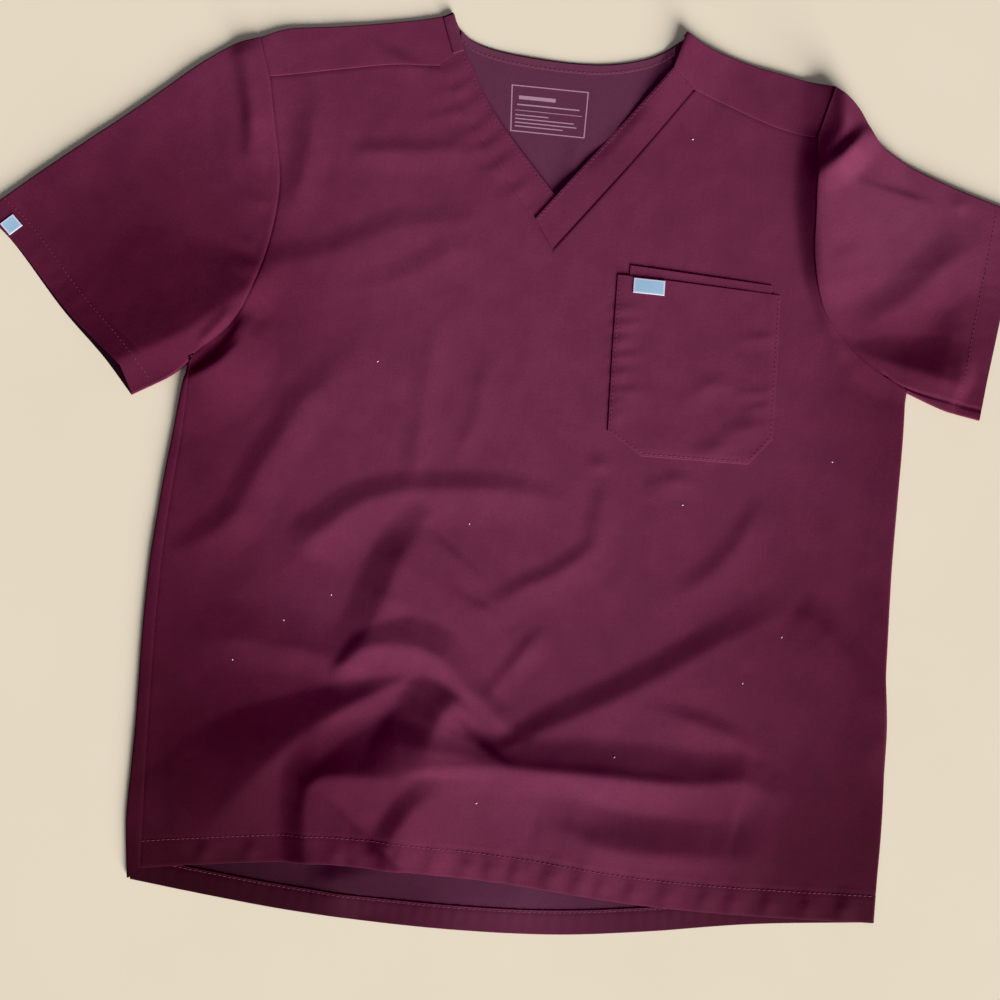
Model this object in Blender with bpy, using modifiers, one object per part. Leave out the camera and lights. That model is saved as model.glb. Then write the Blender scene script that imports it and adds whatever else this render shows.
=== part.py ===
"""Short-sleeved V-neck scrub top, laid flat and face up, as the solids of its cut pieces.

Metres, +Z up, +Y towards the neck, +X across the chest. The origin is under the middle of the
garment's box, on the surface that it lies on. Tables hold millimetres, as a tape would read them.
Left and right are as seen from above.
"""

import bmesh
import bpy
import numpy as np

for old in list(bpy.data.objects):
    bpy.data.objects.remove(old)
garment = bpy.data.collections.new("scrub_top")
bpy.context.scene.collection.children.link(garment)

MM = 0.001

# Cloth and how it is laid
CLOTH_WALL = 1.2 * MM        # body panels, sleeves and yokes
BAND_WALL = 1.6 * MM         # neckbands, which are folded double
PATCH_WALL = 1.0 * MM        # pockets, tape and tags
SEAM_GAP = 0.3 * MM          # between neighbouring pieces
SLEEVE_GAP = 0.4 * MM        # more at a sleeve's head, where the cloth turns sharply
LAID_HEIGHT = 3.2 * MM       # outer face of the upper layer where nothing lifts it
SHOULDER_TURN = 8 * MM       # how far the yokes turn under at the shoulder fold
CROSS_OVER = BAND_WALL + 2 * SEAM_GAP    # the right neckband's rise over the left one
CROSS_LENGTH = 45 * MM       # how far from the V's point it keeps that rise
TAPE_WIDTH = 9 * MM
POCKET_MARGIN = 5 * MM       # from the outer pocket's seams to where it clears the inner one
POCKET_GAPE = 1.5 * MM       # how far its mouth stands open
TAG_GAP = 0.5 * MM
HEM_SHOWS = 4 * MM           # how far a sleeve's under layer shows beyond its hem
FOLD_PROBE = 3 * MM          # how far in from a fold its thickness is taken

# How many cells each piece is divided into
SIDE_ROWS = 26               # front panel from hem to underarm, and half as many on the back
ARMHOLE_ROWS = 12            # front panel from underarm to yoke seam, and half as many on the back
YOKE_END_ROWS = 2            # sleeve cells along the end of a yoke
YOKE_COLUMNS = 10            # along each forward shoulder seam
NECK_COLUMNS = 9             # along each arm of the V
BACK_NECK_COLUMNS = 8
EDGE_COLUMNS = 6             # narrow ones at each side of the front and back, where they turn over
EDGE_WIDTH = 24 * MM         # what those take up in plan
LEAST_CELL = 0.4 * MM
HEM_EASE = 1.2               # rows lie closer together towards the hem, where the folds are
ARMHOLE_EASE = 1.3           # and towards the underarm
SLEEVE_SHARES = (0, 0.045, 0.10, 0.17, 0.25, 0.34, 0.44, 0.54, 0.64, 0.74, 0.84, 0.93, 1.0)

# Outlines, each a smooth run through its knots: (x, y) in millimetres
FRONT_HEM = [(-277, -388), (-189, -377), (-90, -371), (63, -378), (171, -386), (287, -388), (379, -386)]
BACK_HEM = [(-288, -399), (-222, -407), (-132, -416), (0, -421), (101, -418), (181, -409), (270, -396),
            (379, -386)]
BACK_NECK = [(-58, 413), (-52, 403), (-41, 395), (-14, 387), (43, 381), (90, 382), (127, 391), (157, 409)]
TAPE_NECK = [(-38, 393), (-14, 386), (43, 380), (90, 381), (127, 390), (137, 396)]
OUTLINES = {
    "left": {
        "edge": [(-288, -399), (-294, -348), (-294, -277), (-296, -114), (-282, 40), (-275, 76)],
        "armhole": [(-275, 76), (-242, 108), (-224, 148), (-211, 213), (-210, 250), (-217, 290),
                    (-228, 346)],
        "yoke_end": [(-240, 382), (-228, 346)],
        "yoke_seam": [(-228, 346), (-153, 360), (-118, 366), (-70, 369)],
        "band_top": [(-70, 369), (-48, 385)],
        "shoulder": [(-240, 382), (-216, 392), (-157, 400), (-71, 416), (-61, 421)],
        "neck_seam": [(-70, 369), (-44, 326), (-9, 279), (20, 240), (49, 202)],
        "neck_edge": [(-48, 385), (-16, 328), (46, 254), (68, 228)],
        "sleeve_top": [(-240, 382), (-269, 370), (-353, 302), (-470, 207), (-481, 195)],
        "sleeve_hem": [(-481, 195), (-454, 172), (-399, 110), (-356, 68), (-329, 37)],
        "sleeve_under": [(-275, 76), (-291, 60), (-329, 37)],
    },
    "right": {
        "edge": [(379, -386), (382, -280), (379, -190), (379, -62), (383, 49), (383, 94)],
        "armhole": [(383, 94), (345, 114), (321, 136), (302, 164), (291, 205), (288, 260), (287, 325)],
        "yoke_end": [(300, 373), (287, 325)],
        "yoke_seam": [(170, 364), (193, 355), (248, 334), (287, 325)],
        "band_top": [(149, 382), (170, 364)],
        "shoulder": [(159, 417), (177, 406), (226, 390), (257, 383), (300, 373)],
        "neck_seam": [(49, 202), (114, 287), (170, 364)],
        "neck_edge": [(31, 229), (90, 306), (149, 382)],
        "sleeve_top": [(300, 373), (322, 355), (342, 326), (366, 309), (406, 291), (481, 266)],
        "sleeve_hem": [(481, 266), (472, 198), (452, 73)],
        "sleeve_under": [(383, 94), (420, 80), (452, 73)],
    },
}
POCKET = {     # each a straight run between its corners
    "top": [(111, 182), (154, 180), (262, 174)],
    "right": [(263, 40), (263, 118), (262, 174)],
    "left": [(112, 36), (111, 110), (111, 182)],
    "bottom": [(112, 36), (144, 15), (242, 15), (263, 40)],
}
INNER_POCKET = [(122, 40), (252, 40), (254, 183), (122, 192)]
POCKET_TAG = [(126, 166), (155, 165), (155, 179), (126, 180)]
SLEEVE_TAG = [(-455, 176), (-444, 186), (-454, 196), (-465, 186)]

# The side seams: how far in from the body's folded edge, at some heights up the body. A place below
# zero lies round the fold, and is half way round it at the underarm, where the two panels part a little.
SIDE_SEAMS = {
    "left": {"height": (-399, -277, -113, 20, 76), "inside": (11, 12, 11, 4, -4.1),
             "parting": (0, 0, 0, 0, 0.8)},
    "right": {"height": (-386, 0, 60, 94), "inside": (-3, -3, -3.7, -4.1), "parting": (0, 0, 0, 0.8)},
}

# Where the cloth stands up from the flat, in ridges along smooth lines.
# line: (x, y) in mm; rise: height in mm; left, right: reach of the flank on each hand when
# travelling along the line, in mm; fade_in, fade_out: part of the length over which an end dies away.
LIFT_COLUMNS = ("name", "line", "rise", "left", "right", "fade_in", "fade_out")
LIFTS = [
    ("left_edge", [(-288, -399), (-294, -300), (-296, -114), (-275, 76)], 2.0, 16, 16, 0.0, 0.0),
    ("right_edge", [(379, -386), (381, -240), (379, -62), (383, 94)], 2.0, 16, 16, 0.0, 0.0),
    ("left_sleeve_top", [(-240, 382), (-353, 302), (-481, 195)], 2.4, 26, 26, 0.0, 0.0),
    ("right_sleeve_top", [(300, 373), (342, 326), (406, 291), (481, 266)], 2.4, 26, 26, 0.0, 0.0),
    ("hem_roll", [(-142, -293), (-26, -280), (90, -275), (216, -278), (297, -284)],
     10.0, 24, 22, 0.12, 0.30),
    ("long_diagonal", [(57, -251), (135, -209), (192, -174), (283, -115)], 9.0, 20, 34, 0.15, 0.45),
    ("belly_arc", [(-94, -171), (-57, -170), (-15, -187), (47, -239)], 7.0, 18, 26, 0.25, 0.25),
    ("left_slant", [(-35, -53), (-64, -88), (-84, -125), (-111, -187)], 8.5, 24, 34, 0.25, 0.15),
    ("waist_arc", [(-157, -90), (-144, -62), (-101, -33), (-10, -20), (72, -29)], 5.5, 16, 24, 0.25, 0.30),
    ("side_slant", [(-80, 157), (-130, 92), (-184, 23), (-259, -96)], 3.5, 16, 26, 0.35, 0.30),
    ("left_shelf", [(-251, -183), (-179, -182), (-110, -186)], 3.5, 22, 22, 0.40, 0.15),
    ("corner_ridge", [(-221, -350), (-193, -317), (-157, -270), (-106, -232), (-63, -214)], 11.0, 38, 12,
     0.25, 0.20),
    ("corner_plateau", [(-122, -372), (-118, -330), (-112, -296)], 8.0, 14, 40, 0.0, 0.30),
    ("hem_ridge", [(80, -311), (130, -325), (202, -332), (296, -332)], 6.5, 18, 20, 0.30, 0.35),
    ("chest_arc", [(-219, 173), (-166, 185), (-103, 212), (-21, 228)], 3.0, 14, 22, 0.20, 0.45),
    ("neck_stand", [(55, 252), (95, 306), (146, 376), (160, 414)], 8.0, 8, 45, 0.55, 0.0),
    ("left_sleeve_swell", [(-351, 70), (-306, 94), (-266, 113), (-216, 174)], 12.0, 70, 16, 0.10, 0.25),
    ("sleeve_cap", [(331, 132), (308, 168), (300, 205), (298, 260), (306, 340)], 15.0, 7, 62, 0.25, 0.18),
    ("right_sleeve_streak", [(338, 156), (376, 182), (411, 216), (447, 244)], 5.0, 16, 20, 0.25, 0.35),
    ("right_sleeve_swell", [(333, 127), (379, 122), (432, 109)], 9.0, 34, 14, 0.25, 0.10),
]

CLOTH_COLOUR = (0.127, 0.024, 0.058, 1.0)
WRONG_SIDE_COLOUR = (0.105, 0.030, 0.060, 1.0)
TAG_COLOUR = (0.42, 0.50, 0.66, 1.0)


def material(name, colour, roughness):
    made = bpy.data.materials.new(name)
    made.use_nodes = True
    shader = made.node_tree.nodes["Principled BSDF"]
    shader.inputs["Base Color"].default_value = colour
    shader.inputs["Roughness"].default_value = roughness
    shader.inputs["Metallic"].default_value = 0.0
    return made


def smooth_step(value):
    value = np.clip(value, 0.0, 1.0)
    return value * value * (3 - 2 * value)


def unit(vectors):
    return vectors / np.maximum(np.linalg.norm(vectors, axis=-1, keepdims=True), 1e-12)


def curve(knots):
    """A fine smooth line through knots in millimetres, as points in metres."""
    knots = np.array(knots, float) * MM
    ends = 2 * knots[0] - knots[1], 2 * knots[-1] - knots[-2]
    full = np.vstack([ends[0], knots, ends[1]])
    t = np.linspace(0, 1, 25)[:, None]
    runs = []
    for a, b, c, d in zip(full, full[1:], full[2:], full[3:]):
        runs.append(0.5 * (2 * b + (c - a) * t + (2 * a - 5 * b + 4 * c - d) * t**2
                           + (3 * b - a - 3 * c + d) * t**3))
    return np.vstack([run[:-1] for run in runs] + [knots[-1]])


def lengths_along(line):
    """The distance from a line's start to each of its points."""
    return np.concatenate([[0], np.cumsum(np.linalg.norm(np.diff(line, axis=0), axis=1))])


def spaced(line, shares):
    """Points along a line at the given shares of its length, from 0 to 1."""
    length = lengths_along(line)
    at = np.asarray(shares) * length[-1]
    return np.stack([np.interp(at, length, line[:, axis]) for axis in (0, 1)], axis=1)


def along(knots, cells, ease=1.0):
    """Points that divide the curve through knots into cells, closer together at its start if ease > 1."""
    return spaced(curve(knots), np.linspace(0, 1, cells + 1) ** ease)


def joined(*lines):
    """Lines end to end as one, without repeating the points where they meet."""
    return np.vstack([lines[0]] + [line[1:] for line in lines[1:]])


LIFT_LINES = [(curve(row[1]), dict(zip(LIFT_COLUMNS, row))) for row in LIFTS]


def height(places):
    """Height of the upper layer's outer face over the surface, at each (x, y)."""
    flat = places.reshape(-1, 2)
    total = np.full(len(flat), LAID_HEIGHT)
    for line, row in LIFT_LINES:
        start, run = line[:-1], np.diff(line, axis=0)
        length = np.linalg.norm(run, axis=1)
        away = flat[:, None, :] - start[None]
        share = np.clip((away * run).sum(-1) / length**2, 0, 1)
        off = away - share[..., None] * run
        distance = np.linalg.norm(off, axis=-1)
        near = distance.argmin(axis=1)
        pick = np.arange(len(flat)), near
        side = run[near, 0] * away[pick][:, 1] - run[near, 1] * away[pick][:, 0]
        reach = np.where(side > 0, row["left"], row["right"]) * MM
        travelled = (lengths_along(line)[near] + share[pick] * length[near]) / length.sum()
        fade = np.ones(len(flat))
        if row["fade_in"]:
            fade *= smooth_step(travelled / row["fade_in"])
        if row["fade_out"]:
            fade *= smooth_step((1 - travelled) / row["fade_out"])
        total += row["rise"] * MM * fade * np.exp(-(distance[pick] / reach) ** 2)
    return total.reshape(places.shape[:-1])


def on_top(places, above=0.0):
    """The places as points on the upper layer's outer face, or above it."""
    return np.concatenate([places, (height(places) + above)[..., None]], axis=-1)


def on_floor(places, level=0.0):
    """The places as points at one level above the surface that the garment lies on."""
    return np.concatenate([places, np.full(places.shape[:-1] + (1,), level)], axis=-1)


def fold_over(edge, inward, reach):
    """Points on a fold of cloth whose outermost line is edge, at the given distances round it.

    A positive reach lies on the upper layer, inward from the fold; a negative one goes round the
    fold and then inward along the floor.
    """
    radius = height(edge + inward * FOLD_PROBE) / 2
    turn = np.clip(-reach / radius, 0, np.pi)
    flat = np.maximum(reach, 0) + np.maximum(-reach - np.pi * radius, 0)
    away = radius - radius * np.sin(turn) + flat
    places = edge + inward * away[..., None]
    z = np.where(reach > 0, height(places), radius + radius * np.cos(turn))
    return np.concatenate([places, z[..., None]], axis=-1)


def coons(bottom, top, left, right, u):
    """A grid between four edges, rows from bottom to top and columns from left to right at the shares u."""
    runs = lengths_along(left), lengths_along(right)
    v = (runs[0] / runs[0][-1] + runs[1] / runs[1][-1])[:, None, None] / 2
    u = np.asarray(u)[None, :, None]
    ruled = (1 - v) * bottom[None] + v * top[None] + (1 - u) * left[:, None] + u * right[:, None]
    corners = ((1 - u) * (1 - v) * bottom[0] + u * (1 - v) * bottom[-1]
               + (1 - u) * v * top[0] + u * v * top[-1])
    return ruled - corners


def quad(corners, columns, rows):
    """A plan grid between four corners, given anticlockwise from the lower left."""
    a, b, c, d = np.array(corners) * MM
    u, v = (share[..., None] for share in np.meshgrid(np.linspace(0, 1, columns + 1),
                                                      np.linspace(0, 1, rows + 1)))
    return (1 - v) * ((1 - u) * a + u * b) + v * ((1 - u) * d + u * c)


def square_to(line, within):
    """Directions from a line's points towards those within, square to the line."""
    run = unit(np.gradient(line, axis=0))
    inward = within - line
    return unit(inward - run * (inward * run).sum(axis=-1, keepdims=True))


def trimmed(points, gap=SEAM_GAP / 2, edges="bottom top left right", within=1):
    """The grid with its edges drawn in by half a seam's gap, towards the row or column so far within."""
    grid = points.copy()
    for edge, place in (("bottom", 0), ("top", -1)):
        if edge in edges:
            grid[place] += square_to(points[place], points[within if place == 0 else -1 - within]) * gap
    for edge, place in (("left", 0), ("right", -1)):
        if edge in edges:
            inner = points[:, within if place == 0 else -1 - within]
            grid[:, place] += square_to(points[:, place], inner) * gap
    return grid


def relaxed(grid, rounds=40):
    """A plan grid with its inner points spread between their neighbours."""
    grid = grid.copy()
    for _ in range(rounds):
        grid[1:-1, 1:-1] = (grid[:-2, 1:-1] + grid[2:, 1:-1] + grid[1:-1, :-2] + grid[1:-1, 2:]) / 4
    return grid


def piece(name, points, wall, look, ring=False):
    """A grid of points on the piece's outer face, given its wall inward with Solidify."""
    rows, columns = points.shape[:2]
    mesh = bpy.data.meshes.new(name)
    bm = bmesh.new()
    bmesh.ops.create_grid(bm, x_segments=columns - 1, y_segments=rows - 1, size=0.5)
    bm.verts.ensure_lookup_table()
    for vert, point in zip(bm.verts, points.reshape(-1, 3)):
        vert.co = point
    if ring:
        bmesh.ops.remove_doubles(bm, verts=bm.verts, dist=0.01 * MM)
    bm.to_mesh(mesh)
    bm.free()
    mesh.shade_smooth()
    made = bpy.data.objects.new(name, mesh)
    garment.objects.link(made)
    mesh.materials.append(look)
    shell = made.modifiers.new("wall", "SOLIDIFY")
    shell.thickness = wall
    shell.offset = -1.0
    shell.use_even_offset = False
    return made


def edge_places(side, y):
    """Points of the body's folded side edge at the heights y."""
    line = curve(OUTLINES[side]["edge"])
    return np.stack([np.interp(y, line[:, 1], line[:, 0]), y], axis=-1)


def seam_reach(side, y, away):
    """How far in from the body's folded edge a panel's side seam lies at the heights y, in metres.

    away is 1 for the front, which lies further in than the seam's middle, and -1 for the back.
    """
    table = {column: np.array(values) * MM for column, values in SIDE_SEAMS[side].items()}
    return (np.interp(y, table["height"], table["inside"])
            + away * np.interp(y, table["height"], table["parting"]))


def body_side(side, hem_y, rows, armhole_rows):
    """Plan of one side of a body panel: up the side to the underarm, then up the armhole."""
    underarm_y = OUTLINES[side]["edge"][-1][1] * MM
    y = hem_y * MM + (underarm_y - hem_y * MM) * np.linspace(0, 1, rows + 1) ** HEM_EASE
    return joined(edge_places(side, y), along(OUTLINES[side]["armhole"], armhole_rows, ARMHOLE_EASE))


def across_shares(width, cells):
    """Shares of a panel's width: narrow cells at each side, and cells even ones between."""
    edge = EDGE_WIDTH / width * np.linspace(0, 1, EDGE_COLUMNS + 1)
    inner = np.linspace(edge[-1], 1 - edge[-1], cells + 1)
    return np.concatenate([edge[:-1], inner, 1 - edge[-2::-1]])


def with_narrow_ends(line):
    """A panel's top edge with its first and last cells divided into the narrow edge columns."""
    shares = np.linspace(0, 1, EDGE_COLUMNS + 1)[:-1, None]
    start = line[0] + (line[1] - line[0]) * shares
    end = line[-1] + (line[-2] - line[-1]) * shares
    return np.vstack([start, line[1:-1], end[::-1]])


def turn_sides(points, rows, upper):
    """Lays a body panel's edge columns round the fold at each side, for its rows below the underarm.

    The upper panel runs from the seam inward over the top, and the lower one round and under.
    """
    for side, inward in (("left", 1.0), ("right", -1.0)):
        for step in range(EDGE_COLUMNS):
            column = step if side == "left" else points.shape[1] - 1 - step
            y = points[:rows + 1, column, 1]
            edge = edge_places(side, y)
            facing = np.broadcast_to(np.array([inward, 0.0]), edge.shape)
            eighth = np.pi / 4 * height(edge + facing * FOLD_PROBE) / 2
            seam = seam_reach(side, y, 1 if upper else -1)
            if upper:
                best = (seam, -2 * eighth, -eighth, 0, 8 * MM, 16 * MM)
                reach = np.maximum(seam + LEAST_CELL * step, best[step])
            else:
                best = (seam, 0, -eighth, -2 * eighth, -3 * eighth, -4 * eighth)
                reach = np.minimum(seam - LEAST_CELL * step, best[step])
            points[:rows + 1, column] = fold_over(edge, facing, reach)


def yoke_seam(side):
    """The forward shoulder seam's places: a first cell as wide as the panels' edge, then even ones."""
    line = curve(OUTLINES[side]["yoke_seam"])
    start = EDGE_WIDTH / lengths_along(line)[-1]
    shares = np.concatenate([[0], np.linspace(start, 1, YOKE_COLUMNS + 1)])
    return spaced(line, shares if side == "left" else 1 - shares[::-1])


def shoulder(side):
    """The yoke's columns: their places on its forward seam and on the shoulder fold."""
    band_top = along(OUTLINES[side]["band_top"], 2)
    seam = joined(yoke_seam(side), band_top) if side == "left" else joined(band_top, yoke_seam(side))
    length = lengths_along(seam)
    return seam, spaced(curve(OUTLINES[side]["shoulder"]), length / length[-1])


def turn_line(side):
    """Where the back ends below a shoulder fold, at the edge of the part of the yoke turned under."""
    seam, fold = shoulder(side)
    return fold + unit(seam - fold) * SHOULDER_TURN


def build_back(look):
    """The back lies flat, its sides turned up and over to the side seams."""
    rows = SIDE_ROWS // 2
    neck = joined(turn_line("left")[-1:], curve(BACK_NECK)[1:-1], turn_line("right")[:1])
    top = joined(turn_line("left"), spaced(neck, np.linspace(0, 1, BACK_NECK_COLUMNS + 1)),
                 turn_line("right"))
    left, right = (np.vstack([body_side(side, BACK_HEM[place][1], rows, ARMHOLE_ROWS // 2), top[place]])
                   for side, place in (("left", 0), ("right", -1)))
    shares = across_shares(np.linalg.norm(top[-1] - top[0]), len(top) - 3)
    points = on_floor(coons(spaced(curve(BACK_HEM), shares), with_narrow_ends(top), left, right, shares))
    for side, place in (("left", 0), ("right", -1)):       # the seams run up to the front's hem
        points[:rows + 1, place, 1] = body_side(side, FRONT_HEM[place][1], SIDE_ROWS, 1)[:2 * rows + 1:2, 1]
    turn_sides(points, rows, upper=False)
    return piece("back", trimmed(points, edges="top left right")[:, ::-1], CLOTH_WALL, look)


def build_front(look):
    """The front lies over the back, with the V of the neck let into its top edge."""
    left = body_side("left", FRONT_HEM[0][1], SIDE_ROWS, ARMHOLE_ROWS)
    right = body_side("right", FRONT_HEM[-1][1], SIDE_ROWS, ARMHOLE_ROWS)
    top = joined(yoke_seam("left"), along(OUTLINES["left"]["neck_seam"], NECK_COLUMNS),
                 along(OUTLINES["right"]["neck_seam"], NECK_COLUMNS), yoke_seam("right"))
    shares = across_shares(np.linalg.norm(right[0] - left[0]), len(top) - 3)
    points = on_top(coons(spaced(curve(FRONT_HEM), shares), with_narrow_ends(top), left, right, shares))
    turn_sides(points, SIDE_ROWS, upper=True)
    for columns in (slice(0, EDGE_COLUMNS), slice(-EDGE_COLUMNS, None)):    # straight runs, as on the back
        points[1:SIDE_ROWS:2, columns] = (points[0:SIDE_ROWS:2, columns]
                                          + points[2:SIDE_ROWS + 1:2, columns]) / 2
    return piece("front", trimmed(points, edges="top left right"), CLOTH_WALL, look)


def build_yoke(side, look):
    """A yoke runs from the forward seam up to the shoulder fold and turns under it."""
    seam, fold = shoulder(side)
    facing, depth = unit(seam - fold), np.linalg.norm(seam - fold, axis=1)
    radius = height(fold + facing * FOLD_PROBE) / 2
    flat = [(depth - radius) * share for share in (1, 0.66, 0.33, 0)]
    turn = [-radius * np.pi * share for share in (0.25, 0.5, 0.75, 1)]
    under = [-radius * np.pi - (SHOULDER_TURN - radius)]
    rows = [fold_over(fold, facing, reach) for reach in flat + turn + under]
    points = np.stack(rows)
    points[0] = on_top(seam)
    return piece(f"yoke_{side}", trimmed(points), CLOTH_WALL, look)


def build_sleeve(side, look):
    """A sleeve is a flattened tube from the armhole to its hem."""
    lines = OUTLINES[side]
    yoke_end = spaced(np.array(lines["yoke_end"]) * MM, np.linspace(0, 1, YOKE_END_ROWS + 1))
    head = joined(yoke_end, along(lines["armhole"], ARMHOLE_ROWS, ARMHOLE_EASE)[::-1])
    shares = lengths_along(head) / lengths_along(head)[-1]
    rings = relaxed(coons(head, spaced(curve(lines["sleeve_hem"]), shares),
                          spaced(curve(lines["sleeve_top"]), SLEEVE_SHARES),
                          spaced(curve(lines["sleeve_under"]), SLEEVE_SHARES), shares))
    upper = on_top(rings[:, 1:-1])
    lower = on_floor(rings[:, 2:-2:2])[:, ::-1]
    folds = []
    middle = rings.shape[1] // 2
    for place in (0, -1):
        outer = rings[:, place]
        facing = unit(rings[:, 1] - outer) if place == 0 else square_to(outer, rings[:, middle])
        radius = height(outer + facing * FOLD_PROBE) / 2
        folds.append(np.stack([fold_over(outer, facing, -radius * np.pi * share)
                               for share in (0, 0.25, 0.5, 0.75, 1)], axis=1))
    points = np.concatenate([folds[0][:, ::-1], upper, folds[1], lower, folds[0][:, -1:]], axis=1)
    points[-1, -len(lower[0]) - 1:-1, :2] += unit(rings[-1, -2:1:-2] - rings[-2, -2:1:-2]) * HEM_SHOWS
    points = trimmed(points, SLEEVE_GAP, edges="bottom", within=len(points) - 1)
    points[:, -1] = points[:, 0]
    if side == "left":
        points = points[:, ::-1]
    return piece(f"sleeve_{side}", points, CLOTH_WALL, look, ring=True)


def build_neckband(side, look):
    """A neckband fills one arm of the V. The right one crosses over the left one at its point."""
    outer, inner = (along(OUTLINES[side][line], NECK_COLUMNS) for line in ("neck_seam", "neck_edge"))
    plan = np.stack([inner, (outer + inner) / 2, outer], axis=1)
    if side == "left":
        points = on_top(plan)[::-1, ::-1]
    else:
        away = np.linalg.norm(plan - outer[0], axis=-1)
        points = on_top(plan, CROSS_OVER * (1 - smooth_step((away - CROSS_LENGTH) / CROSS_LENGTH)))
    return piece(f"neckband_{side}", trimmed(points), BAND_WALL, look)


def build_neck_tape(look):
    """The tape lies along the inside of the back neck."""
    neck = along(TAPE_NECK, 10)
    plan = np.stack([neck - np.array([0, TAPE_WIDTH]), neck])
    return piece("neck_tape", on_floor(plan, CLOTH_WALL + SEAM_GAP + PATCH_WALL), PATCH_WALL, look)


def pocket_rise(plan):
    """How far the outer pocket's face stands off the front: it clears the inner layer and gapes a little."""
    x, y = plan[..., 0], plan[..., 1]
    sides = np.minimum(x - POCKET["left"][-1][0] * MM, POCKET["right"][-1][0] * MM - x)
    seams = np.minimum(sides, y - POCKET["bottom"][1][1] * MM)
    over_inner = np.clip(seams / POCKET_MARGIN, 0, 1) * (PATCH_WALL + SEAM_GAP)
    below_mouth = POCKET["top"][0][1] * MM - y
    gape = POCKET_GAPE * smooth_step(sides / (40 * MM)) * np.exp(-(below_mouth / (30 * MM)) ** 2)
    return SEAM_GAP + PATCH_WALL + over_inner + gape


def build_pockets(look):
    """The outer patch pocket, and the second layer that stands above its mouth."""
    shares = np.concatenate([[0], np.linspace(0.04, 0.96, 9), [1]])
    edges = [spaced(np.array(POCKET[edge]) * MM, shares) for edge in ("bottom", "top", "left", "right")]
    plan = coons(*edges, shares)
    piece("pocket_outer", on_top(plan, pocket_rise(plan)), PATCH_WALL, look)
    plan = quad(INNER_POCKET, 8, 8)
    rise = np.minimum(pocket_rise(plan) - PATCH_WALL - SEAM_GAP, 3 * MM)
    piece("pocket_inner", on_top(plan, rise), PATCH_WALL, look)


def build_tag(name, corners, rise, look):
    """A small woven tag, four corners from its lower left."""
    plan = quad(corners, 3, 2)
    piece(name, on_top(plan, rise(plan) + TAG_GAP + PATCH_WALL), PATCH_WALL, look)


build_back(material("twill_back", CLOTH_COLOUR, 0.85))
build_front(material("twill_front", CLOTH_COLOUR, 0.85))
for hand in ("left", "right"):
    build_yoke(hand, material(f"twill_yoke_{hand}", CLOTH_COLOUR, 0.85))
    build_sleeve(hand, material(f"twill_sleeve_{hand}", CLOTH_COLOUR, 0.85))
    build_neckband(hand, material(f"twill_neckband_{hand}", CLOTH_COLOUR, 0.85))
build_neck_tape(material("twill_tape", WRONG_SIDE_COLOUR, 0.9))
build_pockets(material("twill_pocket", CLOTH_COLOUR, 0.85))
build_tag("label_pocket", POCKET_TAG, pocket_rise, material("tag_pocket", TAG_COLOUR, 0.6))
build_tag("label_sleeve", SLEEVE_TAG, lambda plan: 0.0, material("tag_sleeve", TAG_COLOUR, 0.6))
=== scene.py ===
import bpy
import bmesh
import numpy as np
from mathutils import Matrix, Vector
from mathutils.bvhtree import BVHTree


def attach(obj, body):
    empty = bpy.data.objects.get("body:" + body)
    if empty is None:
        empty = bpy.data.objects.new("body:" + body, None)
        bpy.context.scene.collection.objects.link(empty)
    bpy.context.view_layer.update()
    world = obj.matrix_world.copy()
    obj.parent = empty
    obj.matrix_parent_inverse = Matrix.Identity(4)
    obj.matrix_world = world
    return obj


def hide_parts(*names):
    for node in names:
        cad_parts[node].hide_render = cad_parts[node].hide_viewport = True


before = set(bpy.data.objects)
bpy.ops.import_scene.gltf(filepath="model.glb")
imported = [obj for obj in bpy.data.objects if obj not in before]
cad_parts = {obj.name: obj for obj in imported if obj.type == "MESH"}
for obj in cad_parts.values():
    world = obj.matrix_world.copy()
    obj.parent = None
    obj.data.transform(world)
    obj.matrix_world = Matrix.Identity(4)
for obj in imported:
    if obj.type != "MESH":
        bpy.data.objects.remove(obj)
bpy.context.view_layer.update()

mm = 0.001    # tables below are in millimetres, as a tape measure reads them


view = {
    "place": (25.06, -124.54, 1142.47),    # mm
    "right": (0.99705, 0.07672, 0.0),
    "up": (-0.07648, 0.99398, 0.07846),
    "lens": 45.0,
    "sensor": 36.0,
    "near": 0.05,    # m
    "far": 20.0,    # m
}


def addCamera():
    right, up = Vector(view["right"]), Vector(view["up"])
    data = bpy.data.cameras.new("camera")
    data.lens = view["lens"]
    data.sensor_width = view["sensor"]
    data.clip_start = view["near"]
    data.clip_end = view["far"]
    data.dof.use_dof = False
    camera = bpy.data.objects.new("camera", data)
    camera.matrix_world = Matrix.Translation(Vector(view["place"]) * mm) @ Matrix(
        (right, up, right.cross(up))).transposed().to_4x4()
    bpy.context.scene.collection.objects.link(camera)
    bpy.context.scene.camera = camera


light = {
    "towards": (0.50, -0.87),    # in plan: from the hem side, a little to the right
    "elevation": 18.5,    # degrees above the floor
    "softness": 30.0,    # degrees that the key light spans
    "key": 8.2,
    "fill": 0.17,
    "black": 0.0055,    # a camera's black point, which makes shaded cloth fuller in colour
    "fillColour": "#f3f1f6",
    "keyColour": "#fff8f0",
    "floor": "#e9e2d2",
    "floorDeep": "#e4dccb",
    "floorSize": 14.0,    # m
}


def linear(code):    # sRGB hex to the linear values that Blender works in
    parts = np.array([int(code[i:i + 2], 16) for i in (1, 3, 5)]) / 255
    return (*np.where(parts < 0.04045, parts / 12.92, ((parts + 0.055) / 1.055) ** 2.4), 1.0)


def addNode(tree, kind, settings=None, links=None):
    node = tree.nodes.new("ShaderNode" + kind)
    for name, value in (settings or {}).items():
        if isinstance(name, int) or name in node.inputs:
            node.inputs[name].default_value = value
        else:
            setattr(node, name, value)
    for name, source in (links or {}).items():
        tree.links.new(source, node.inputs[name])
    return node


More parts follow.
